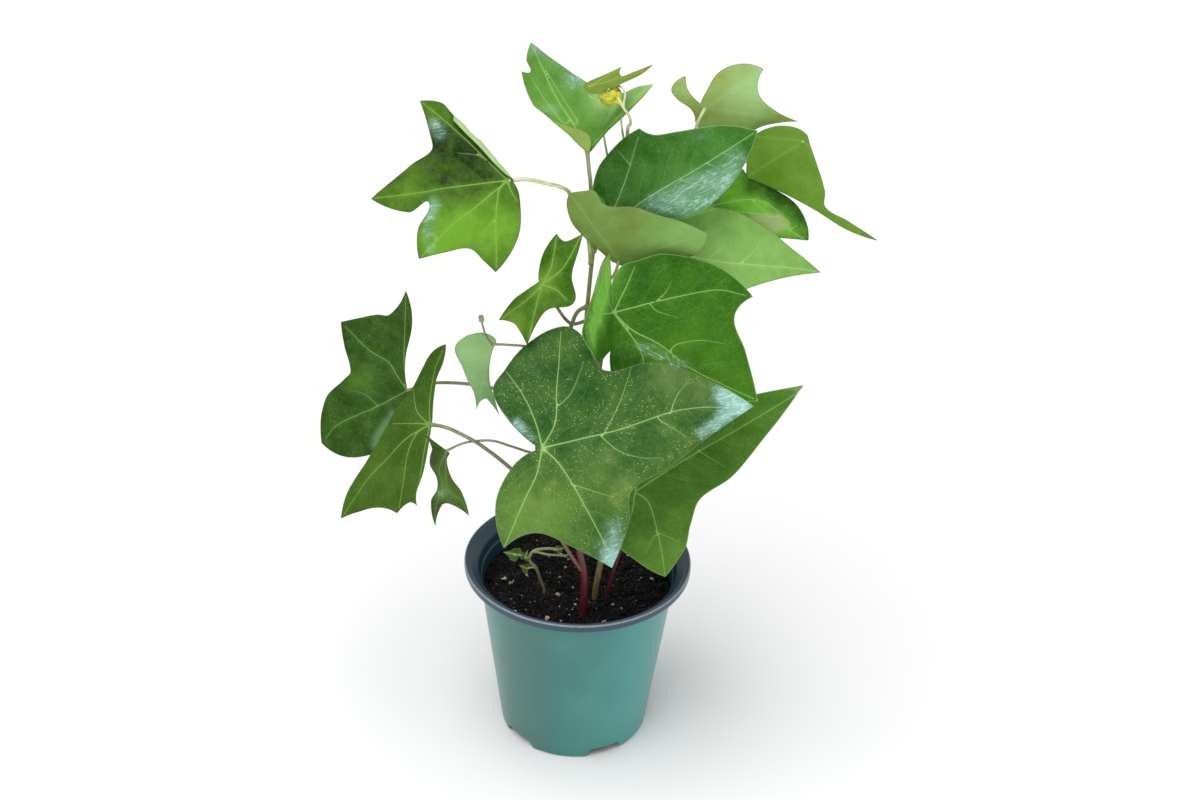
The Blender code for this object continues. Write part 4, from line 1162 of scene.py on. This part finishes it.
def stem_material(name):
    """Stem skin: its own tint, fine streaks along it and small pale pores."""
    material, tree, sockets = new_material(name, specular=0.4, coat=0.10, coat_roughness=0.3)
    flow = attribute(tree, "flow", "Vector")
    tint = attribute(tree, "tint", "Color")
    streaks = noise(vector("MULTIPLY", flow, (0.25, 2.2, 1.0)), 1.0, 4.0)["Fac"]
    dark = mix(1.0, tint, paint((206, 198, 188)), "MULTIPLY")
    colour = mix(streaks.ramp(0.42, 0.68), tint, dark)
    colour = mix(cells(flow, 1.1)["Distance"].ramp(0.08, 0.16, 0.4, 0.0), colour, paint((214, 208, 170)))
    set_shader(sockets, colour, streaks * 0.3 + 0.32, streaks, 0.5, 0.15)
    return material


def pot_material():
    """Moulded plastic: blue-green wall, darker toward its foot, with painted shade and a painted greyish
    reflection on its left and painted light on its right; slate lip and inside, dust near the rim and a
    painted highlight along the lip's top edge.
    """
    material, tree, sockets = new_material("pot_plastic", specular=0.5)
    place, speckle, cloud = speckle_and_cloud(tree, 1400.0, 22.0)
    split = add_node(tree, "ShaderNodeSeparateXYZ", {0: place})
    height, across = split["Z"], split["X"]
    wall = mix(cloud.ramp(0.35, 0.65), paint((50, 114, 108)), paint((62, 130, 122)))
    wall = mix(height.ramp(0.0, 0.03, 0.35, 0.0), wall, paint((40, 112, 98)))
    # Painted shade and painted greyish reflection: a darker, greyer band on the left of the wall.
    shadow = across.ramp(-0.040, -0.030) * across.ramp(-0.018, -0.004, 1.0, 0.0)
    wall = mix(shadow * 0.45, wall, paint((62, 98, 88)))
    # Painted light: the wall lighter and bluer toward its right.
    wall = mix(across.ramp(0.0, 0.032, 0.0, 0.7), wall, paint((62, 146, 140)))
    wall = mix(speckle.ramp(0.62, 0.75, 0.0, 0.25), wall, paint((120, 160, 150)))
    slate = mix(cloud, paint((28, 52, 66)), paint((46, 74, 92)))
    colour = mix(attribute(tree, "outer"), slate, wall)
    dust = speckle.ramp(0.60, 0.72) * height.ramp(0.072, 0.082)
    colour = mix(dust * 0.25, colour, paint((130, 136, 138)))
    radius = vector("LENGTH", vector("MULTIPLY", place, (1.0, 1.0, 0.0)))
    # Painted highlight along the lip's rounded top edge, broken by the speckle.
    painted_lip_highlight = radius.ramp(0.0516, 0.0521) * height.ramp(0.0898, 0.0903) * speckle.ramp(0.30, 0.60, 0.4, 1.0)
    colour = mix(painted_lip_highlight * 0.5, colour, paint((190, 200, 204)))
    set_shader(sockets, colour, cloud * 0.18 + 0.22, speckle, 0.25, 0.05)
    return material


def soil_material(name, dark, light, fine):
    """Loose matter: two tones in speckle and cloud, rough and matt."""
    material, tree, sockets = new_material(name, specular=0.15)
    place, speckle, cloud = speckle_and_cloud(tree, fine, 160.0)
    colour = mix((speckle * (cloud + 0.5)).ramp(0.35, 0.70), paint(dark), paint(light))
    set_shader(sockets, colour, speckle * 0.3 + 0.6, speckle, 0.8, 0.4)
    return material


def turns(count):
    """Angles of evenly spaced spokes, in radians."""
    return [2 * math.pi * k / count for k in range(count)]


def circle(radius, height, sides):
    return [(radius * math.cos(turn), radius * math.sin(turn), height) for turn in turns(sides)]


def band(low, high, sides, order=1):
    """Faces between two rings of points, each given by its first point; order -1 turns them over."""
    faces = []
    for k in range(sides):
        following = (k + 1) % sides
        faces.append([low + k] + [low + following, high + following, high + k][::order])
    return faces


def fan(tip, ring, sides, order=1):
    """Triangles from a point to a ring of points."""
    return [[tip] + [ring + k, ring + (k + 1) % sides][::order] for k in range(sides)]


def tube_shape(points, radii, tints, seed, sides=STEM_SIDES, swell=NODE_SWELL):
    """Closed round tube along a smooth line, a little swollen at its two ends."""
    line = smooth_line(points, STEM_SPACING)
    last = len(line) - 1
    run = np.concatenate(([0.0], np.linalg.norm(np.diff(line, axis=0), axis=1).cumsum()))
    share = run / run[-1]
    ends = np.exp(-(run / NODE_LENGTH) ** 2) + np.exp(-((run[-1] - run) / NODE_LENGTH) ** 2)
    radius = np.interp(share, np.linspace(0, 1, len(radii)), radii) * (1 + swell * ends)
    colours = np.array([paint(tint) for tint in tints])
    stops = np.linspace(0, 1, len(tints))
    tint = np.column_stack([np.interp(share, stops, colours[:, k]) for k in range(4)])
    side = np.array((1.0, 0.0, 0.0))
    rings, flow = [], []
    for i, point in enumerate(line):
        way = unit(line[min(i + 1, last)] - line[max(i - 1, 0)])
        side = unit(side - way * side.dot(way))
        other = np.cross(way, side)
        for turn in turns(sides):
            spoke = side * math.cos(turn) + other * math.sin(turn)
            rings.append(point + spoke * radius[i])
            flow.append((run[i] + seed * TUBE_SHIFT, math.cos(turn), math.sin(turn)))
    faces = [face for i in range(last) for face in band(i * sides, (i + 1) * sides, sides)]
    faces += fan(len(rings), 0, sides, -1) + fan(len(rings) + 1, last * sides, sides)
    rings += [line[0], line[last]]
    flow += [flow[0], flow[-1]]
    tint = np.vstack((np.repeat(tint, sides, axis=0), tint[:1], tint[-1:]))
    return np.array(rings), faces, {"tint": tint, "flow": np.array(flow)}


def join_shapes(shapes):
    """Several (points, faces, values) shapes as one."""
    points, faces, values, count = [], [], {}, 0
    for part_points, part_faces, part_values in shapes:
        points.append(part_points)
        faces += [[corner + count for corner in face] for face in part_faces]
        for key, value in part_values.items():
            values.setdefault(key, []).append(value)
        count += len(part_points)
    return np.vstack(points), faces, {key: np.concatenate(value) for key, value in values.items()}


def build_leaves():
    for number, (name, leaf) in enumerate(LEAVES.items()):
        look = LOOKS[name]
        leaf.creases += look.bends
        spacing = BLADE_SPACING if leaf.length > SMALL_LENGTH else SMALL_SPACING
        shape = blade_shape(leaf, look, spacing, number + 1)
        make_piece(name + "_blade", *shape, leaf_material(name + "_blade", look), [name], name)


def build_stems():
    for name, branches in STEMS.items():
        tubes = []
        for number, (points, radii, leaf_name, tints) in enumerate(branches):
            tip = [tuple(LEAVES[leaf_name].base)] if leaf_name else []
            tubes.append(tube_shape(points + tip, radii, tints, number))
        make_piece(name + "_skin", *join_shapes(tubes), stem_material(name + "_skin"), [name], name)


def small_blades(places, name, look, node):
    shapes = []
    for number, (base, face, heading, size) in enumerate(places):
        edge = [(item[0], item[1] * size, *item[2:]) for item in SMALL_EDGE]
        shapes.append(blade_shape(Leaf(base, face, heading, edge), look, TINY_SPACING, TINY_SEED + number))
    make_piece(name, *join_shapes(shapes), leaf_material(name, look, TINY_CELL), [node], node)


def scale_shape(centre, radii, lean):
    """Closed pointed scale of the bud."""
    points, faces = [], []
    turn = math.radians(lean)
    for i in range(SCALE_RINGS + 1):
        t = i / SCALE_RINGS
        width = math.sin(math.pi * t) ** 0.8
        for around in turns(SCALE_SIDES):
            rib = 1 + 0.06 * math.cos(6 * around)
            x = radii[0] * width * math.cos(around) * rib
            y = radii[1] * width * math.sin(around) * rib
            z = radii[2] * (1 - 2 * t)
            points.append((x * math.cos(turn) - z * math.sin(turn), y,
                           x * math.sin(turn) + z * math.cos(turn)))
    for i in range(SCALE_RINGS):
        faces += band(i * SCALE_SIDES, (i + 1) * SCALE_SIDES, SCALE_SIDES, -1)
    points = np.array(points) + centre
    flow = np.column_stack((points[:, 2] * 2, points[:, 0] * 2, points[:, 1]))
    return points, faces, {"tint": np.tile(paint(BUD_YELLOW), (len(points), 1)), "flow": flow}


def build_bud():
    shapes = [scale_shape(BUD_AT + np.array(place), radii, lean) for place, radii, lean in BUD_SCALES]
    for number, path in enumerate(BUD_TENDRILS):
        points = [BUD_AT + np.array(point) for point in path]
        shapes.append(tube_shape(points, (TENDRIL_RADIUS, TENDRIL_RADIUS * 0.6), (PALE, TENDRIL_TIP),
                                 number, 8, 0.0))
    make_piece("bud_scales", *join_shapes(shapes), stem_material("bud_scales"), ["bud"], "bud")
    places = [(tuple(BUD_AT), face, heading, size) for face, heading, size in BUD_LEAVES]
    small_blades(places, "bud_leaves", BUD_LOOK, "bud")


def rounded_profile(corners, steps=5):
    """Profile through (radius, height, rounding) corners, each corner eased by its rounding."""
    line = []
    for i, (radius, height, rounding) in enumerate(corners):
        corner = np.array((radius, height), float)
        if rounding == 0 or i in (0, len(corners) - 1):
            line.append(corner)
            continue
        before, after = (np.array(corners[j][:2], float) for j in (i - 1, i + 1))
        start = corner + unit(before - corner) * rounding
        end = corner + unit(after - corner) * rounding
        for k in range(steps + 1):
            t = k / steps
            line.append(start * (1 - t) ** 2 + corner * (2 * t * (1 - t)) + end * t ** 2)
    return line


def lathe_object(name, profile, sides):
    """Solid of revolution about Z from (radius, height) pairs that closes on the axis."""
    points, rings, faces = [], [], []
    for radius, height in profile:
        ring = circle(radius, height, sides)[:1 if radius < 1e-6 else sides]
        rings.append(range(len(points), len(points) + len(ring)))
        points += ring
    for low, high in zip(rings, rings[1:]):
        for k in range(sides):
            corners = (low[k % len(low)], low[(k + 1) % len(low)],
                       high[(k + 1) % len(high)], high[k % len(high)])
            faces.append(list(dict.fromkeys(corners)))
    return mesh_object(name, points, faces)


def radial_block(name, inner, outer, middle, foot_width, roof_width, low, high):
    """Block between two radii, its section a trapezoid with eased upper corners; widths in degrees."""
    ease = math.degrees(RECESS_CORNER / outer)
    arc = [(roof_width / 2 - ease * (1 - math.cos(a)), high - RECESS_CORNER * (1 - math.sin(a)))
           for a in np.linspace(math.pi / 2, 0, 5)]
    flat_top = [(angle, high) for angle in np.linspace(-arc[0][0], arc[0][0], 12)[1:-1]]
    top = [(-angle, height) for angle, height in arc[::-1]] + flat_top + arc
    count = len(top)
    foot = [(angle, low) for angle in np.linspace(-foot_width / 2, foot_width / 2, count)]
    points = []
    for radius, line in ((inner, foot), (inner, top), (outer, top), (outer, foot)):
        for angle, height in line:
            turn = math.radians(middle + angle)
            points.append((radius * math.cos(turn), radius * math.sin(turn), height))
    faces = []
    for side in range(4):
        here, there = side * count, (side + 1) % 4 * count
        faces += [[here + k, there + k, there + 1 + k, here + 1 + k] for k in range(count - 1)]
    faces.append([3 * count, 2 * count, count, 0])
    faces.append([count - 1, 2 * count - 1, 3 * count - 1, 4 * count - 1])
    return mesh_object(name, points, faces)


def combine(item, others, operation):
    """One Boolean of an object with a collection of others, applied; the others are removed."""
    helpers = bpy.data.collections.new(item.name + "_helpers")
    for other in others:
        helpers.objects.link(other)
    modifier = item.modifiers.new(operation.lower(), "BOOLEAN")
    modifier.operation = operation
    modifier.operand_type = "COLLECTION"
    modifier.collection = helpers
    modifier.solver = "EXACT"
    apply_modifier(item, modifier)
    for other in others:
        bpy.data.objects.remove(other, do_unlink=True)
    bpy.data.collections.remove(helpers)


def inner_radius(height):
    """Radius of the pot's inner wall below the step."""
    slope = (STEP[0] - WALL_FOOT[0]) / (STEP[1] - WALL_FOOT[1])
    return WALL_FOOT[0] + slope * (height - WALL_FOOT[1]) - WALL


def build_pot():
    lip_low = POT_HEIGHT - LIP_HEIGHT
    corners = [
        (0, 0, 0), (BASE_RADIUS, 0, 0.6), (*WALL_FOOT, 0.6), (*STEP, 0.4),
        (STEP[0] + STEP_OUT, STEP[1] + STEP_OUT, 0.4), (*WALL_TOP, 0.6),
        (LIP_RADIUS, lip_low, LIP_EDGE * 0.8), (LIP_RADIUS, POT_HEIGHT, LIP_EDGE),
        (LIP_RADIUS - LIP_WIDTH, POT_HEIGHT - LIP_DIP, 0.8),
        (WALL_TOP[0] - WALL + LIP_DIP, WALL_TOP[1] + LIP_DIP, 0.8),
        (STEP[0] + STEP_OUT - WALL, STEP[1] + STEP_OUT, 0.4), (inner_radius(STEP[1]), STEP[1], 0.4),
        (inner_radius(INNER_FOOT), INNER_FOOT, 0.5), (inner_radius(INNER_FOOT) - INNER_BEVEL, WALL, 0.5),
        (0, WALL, 0)]
    pot = lathe_object("pot_moulding", rounded_profile(corners), POT_SIDES)
    middles = [RECESS_FIRST + 360 / RECESS_COUNT * k for k in range(RECESS_COUNT)]
    roofs = [radial_block("roof", RECESS_INNER - WALL, inner_radius(RECESS_HEIGHT) + ROOF_LAP, middle,
                          RECESS_FOOT_WIDTH + 2 * ROOF_SIDE, RECESS_ROOF_WIDTH + 2 * ROOF_SIDE, WALL / 2,
                          RECESS_HEIGHT + WALL) for middle in middles]
    combine(pot, roofs, "UNION")
    cutters = []
    low, high = RECESS_HEIGHT - 1, RECESS_HEIGHT + 3
    for middle in middles:
        cutters.append(radial_block("recess", RECESS_INNER, LIP_RADIUS, middle, RECESS_FOOT_WIDTH,
                                    RECESS_ROOF_WIDTH, -1.0, RECESS_HEIGHT))
        drain = lathe_object("drain", [(0, low), (DRAIN_RADIUS, low), (DRAIN_RADIUS, high), (0, high)],
                             DRAIN_SIDES)
        turn = math.radians(middle)
        drain.data.transform(Matrix.Translation((DRAIN_AT * math.cos(turn) * MM,
                                                 DRAIN_AT * math.sin(turn) * MM, 0)))
        cutters.append(drain)
    combine(pot, cutters, "DIFFERENCE")
    mesh = pot.data
    mesh.shade_smooth()
    mesh.set_sharp_from_angle(angle=math.radians(SHARP_ANGLE))
    outer = mesh.attributes.new("outer", "FLOAT", "FACE")
    for polygon in mesh.polygons:
        middle, normal = polygon.center, polygon.normal
        away = middle.x * normal.x + middle.y * normal.y > 0
        below_lip = middle.z < (lip_low - 0.6) * MM
        underside = normal.z < -0.3 and middle.z < RECESS_HEIGHT * 1.2 * MM
        outer.data[polygon.index].value = 1.0 if below_lip and (away or underside) else 0.0
    mesh.materials.clear()
    mesh.materials.append(pot_material())
    declare(pot, ["pot"])


def soil_height(x, y):
    """Height of the soil's surface: slow heaps and small lumps, lower toward the wall."""
    slow = 0.45 * math.sin(x * 0.17 + 1.3) * math.cos(y * 0.21 - 0.4)
    small = 0.30 * math.sin(x * 0.61 + y * 0.37) + 0.25 * math.sin(y * 0.83 - x * 0.29 + 2.0)
    fine = 0.22 * math.sin(x * 1.9 + 0.7) * math.sin(y * 2.1 + x * 0.8)
    return SOIL_TOP - SOIL_RISE - SOIL_SINK + slow + small + fine - 0.6 * (math.hypot(x, y) / 40) ** 4


def soil_disc(radius, rings, sides):
    """Points of the soil's surface: its middle, then rings out to the radius."""
    points = [(0, 0, soil_height(0, 0))]
    for ring in range(1, rings + 1):
        points += [(x, y, soil_height(x, y)) for x, y, _ in circle(radius * ring / rings, 0, sides)]
    return points


def disc_faces(rings, sides):
    """Faces of such a disc, spoke by spoke."""
    faces = []
    for k in range(sides):
        following = (k + 1) % sides
        faces.append([0, 1 + k, 1 + following])
        for ring in range(rings - 1):
            a, b = 1 + ring * sides, 1 + (ring + 1) * sides
            faces.append([a + k, b + k, b + following, a + following])
    return faces


def build_soil():
    low, foot = WALL + SOIL_GAP, INNER_FOOT + SOIL_GAP
    foot_radius = inner_radius(foot) - SOIL_GAP
    points = soil_disc(inner_radius(SOIL_TOP) - SOIL_EDGE_GAP, SOIL_RINGS, SOIL_SIDES)
    points += circle(foot_radius, foot, SOIL_SIDES)
    last = len(points)
    points += circle(foot_radius - INNER_BEVEL, low, SOIL_SIDES)
    faces = disc_faces(SOIL_RINGS + 2, SOIL_SIDES) + fan(len(points), last, SOIL_SIDES, -1)
    points.append((0, 0, low))
    material = soil_material("soil_peat", (7, 6, 7), (34, 29, 28), 700.0)
    make_piece("soil_bed", points, faces, {}, material, ["soil"], "soil")


def scatter_tree():
    """Geometry nodes that strew jagged lumps over a surface."""
    sizes = dict(zip(LITTER_INPUTS, LITTER["soil_crumbs"][3]))
    tree, given, out = new_tree(
        "Strewn lumps", "GeometryNodeTree", {"Surface": "Geometry", **sizes, "Material": "Material"},
        {"Lumps": "Geometry"})
    seed = given["Seed"]
    points = add_node(tree, "GeometryNodeDistributePointsOnFaces", {
        "Mesh": given["Surface"], "Density": given["Per square metre"], "Seed": seed})["Points"]
    ball = add_node(tree, "GeometryNodeMeshIcoSphere", {
        "Radius": 1.0, "Subdivisions": given["Fineness"]})["Mesh"]
    turned = add_node(tree, "FunctionNodeRandomValue", {
        0: (0.0, 0.0, 0.0), 1: (6.28, 6.28, 6.28), "Seed": seed}, data_type="FLOAT_VECTOR")[0]
    size = add_node(tree, "FunctionNodeRandomValue", {
        2: given["Smallest"], 3: given["Largest"], "Seed": seed}, data_type="FLOAT")[1]
    scale = add_node(tree, "ShaderNodeCombineXYZ", {"X": size * given["Stretch"], "Y": size,
                                                    "Z": size * given["Flattening"]})["Vector"]
    strewn = add_node(tree, "GeometryNodeInstanceOnPoints",
                      {"Points": points, "Instance": ball, "Rotation": turned, "Scale": scale})["Instances"]
    real = add_node(tree, "GeometryNodeRealizeInstances", {"Geometry": strewn})["Geometry"]
    rough = add_node(tree, "ShaderNodeTexNoise", {"Scale": given["Jag scale"], "Detail": 1.0})["Color"]
    jag = vector("SCALE", vector("SUBTRACT", rough, (0.5, 0.5, 0.5)), given["Jag"])
    moved = add_node(tree, "GeometryNodeSetPosition", {"Geometry": real, "Offset": jag})["Geometry"]
    connect(out, {"Lumps": add_node(tree, "GeometryNodeSetMaterial",
                                    {"Geometry": moved, "Material": given["Material"]})["Geometry"]})
    return tree


def build_litter():
    """Loose matter strewn over the soil by the node tree, each kind turned into a plain mesh."""
    tree = scatter_tree()
    identifiers = {socket.name: socket.identifier for socket in tree.interface.items_tree
                   if socket.in_out == "INPUT"}
    materials = {name: soil_material(name, *tones) for name, tones in LITTER_TONES.items()}
    for name, (tones, inset, smooth, sizes) in LITTER.items():
        radius = inner_radius(SOIL_TOP) - LITTER_MARGIN - inset
        piece = mesh_object(name, soil_disc(radius, GROUND_RINGS, GROUND_SIDES),
                            disc_faces(GROUND_RINGS, GROUND_SIDES))
        modifier = piece.modifiers.new("strewn", "NODES")
        modifier.node_group = tree
        for title, value in zip((*LITTER_INPUTS, "Material"), (*sizes, materials[tones])):
            modifier[identifiers[title]] = value
        apply_modifier(piece, modifier)
        if smooth:
            piece.data.shade_smooth()
        declare(piece, ["soil"])


def build_camera():
    pitch, yaw, roll = (math.radians(angle) for angle in (CAMERA_PITCH, CAMERA_YAW, CAMERA_ROLL))
    turned = Matrix.Rotation(yaw, 3, "Z")
    right = turned @ Vector((1, 0, 0))
    above = turned @ Vector((0, math.sin(pitch), math.cos(pitch)))
    ahead = turned @ Vector((0, math.cos(pitch), -math.sin(pitch)))
    right, above = (right * math.cos(roll) + above * math.sin(roll),
                    above * math.cos(roll) - right * math.sin(roll))
    data = bpy.data.cameras.new("camera")
    data.sensor_width = SENSOR
    data.lens = PHOTO_FOCAL * SENSOR / PHOTO_WIDTH
    data.clip_start, data.clip_end = 0.01, 20.0
    matrix = Matrix((right, above, -ahead)).transposed().to_4x4()
    matrix.translation = Vector(CAMERA_AT) * MM
    camera = add_object("camera", data)
    camera.matrix_world = matrix
    bpy.context.scene.camera = camera


def area_light(name, place, target, size, power, colour=(1, 1, 1)):
    data = bpy.data.lights.new(name, "AREA")
    data.shape = "RECTANGLE"
    data.size, data.size_y = size
    data.energy = power
    data.color = colour
    light = add_object(name, data)
    light.location = place
    light.rotation_euler = (Vector(target) - Vector(place)).to_track_quat("-Z", "Y").to_euler()
    light.visible_camera = False


def sky_light():
    """Even soft light from above, so that the whole floor is as bright."""
    data = bpy.data.lights.new("top_light", "SUN")
    data.energy = 2.0
    data.angle = math.radians(55)
    add_object("top_light", data).rotation_euler = (math.radians(14), math.radians(-16), 0.0)


def build_studio():
    reach = FLOOR_REACH
    corners = [(-reach, -reach, 0), (reach, -reach, 0), (reach, reach, 0), (-reach, reach, 0)]
    floor = mesh_object("floor", corners, [[0, 1, 2, 3]])
    material, tree, sockets = new_material("studio_floor", specular=0.1)
    cloud = speckle_and_cloud(tree, 60.0, 1.5)[2]
    connect(sockets, {"Base Color": mix(cloud, paint((244, 244, 244)), paint((248, 248, 248)))})
    sockets["Roughness"].default_value = 0.9
    floor.data.materials.append(material)

    world = bpy.data.worlds.new("studio")
    world.use_nodes = True
    background = world.node_tree.nodes["Background"].inputs
    background["Color"].default_value = (1.0, 1.0, 1.0, 1.0)
    background["Strength"].default_value = 0.55
    bpy.context.scene.world = world
    sky_light()
    area_light("front_light", (0.30, -1.3, 0.24), (0.0, 0.0, 0.16), (0.7, 0.35), 2.4, (0.86, 0.96, 1.0))
    area_light("side_light", (0.9, -0.6, 0.10), (0.0, 0.0, 0.05), (0.35, 0.25), 0.9)
    bpy.context.scene.view_settings.view_transform = "Standard"


build_camera()
build_studio()
build_pot()
build_soil()
build_litter()
build_stems()
build_leaves()
small_blades(SPROUT_LEAVES, "sprout_leaves", SPROUT_LOOK, "sprout")
build_bud()
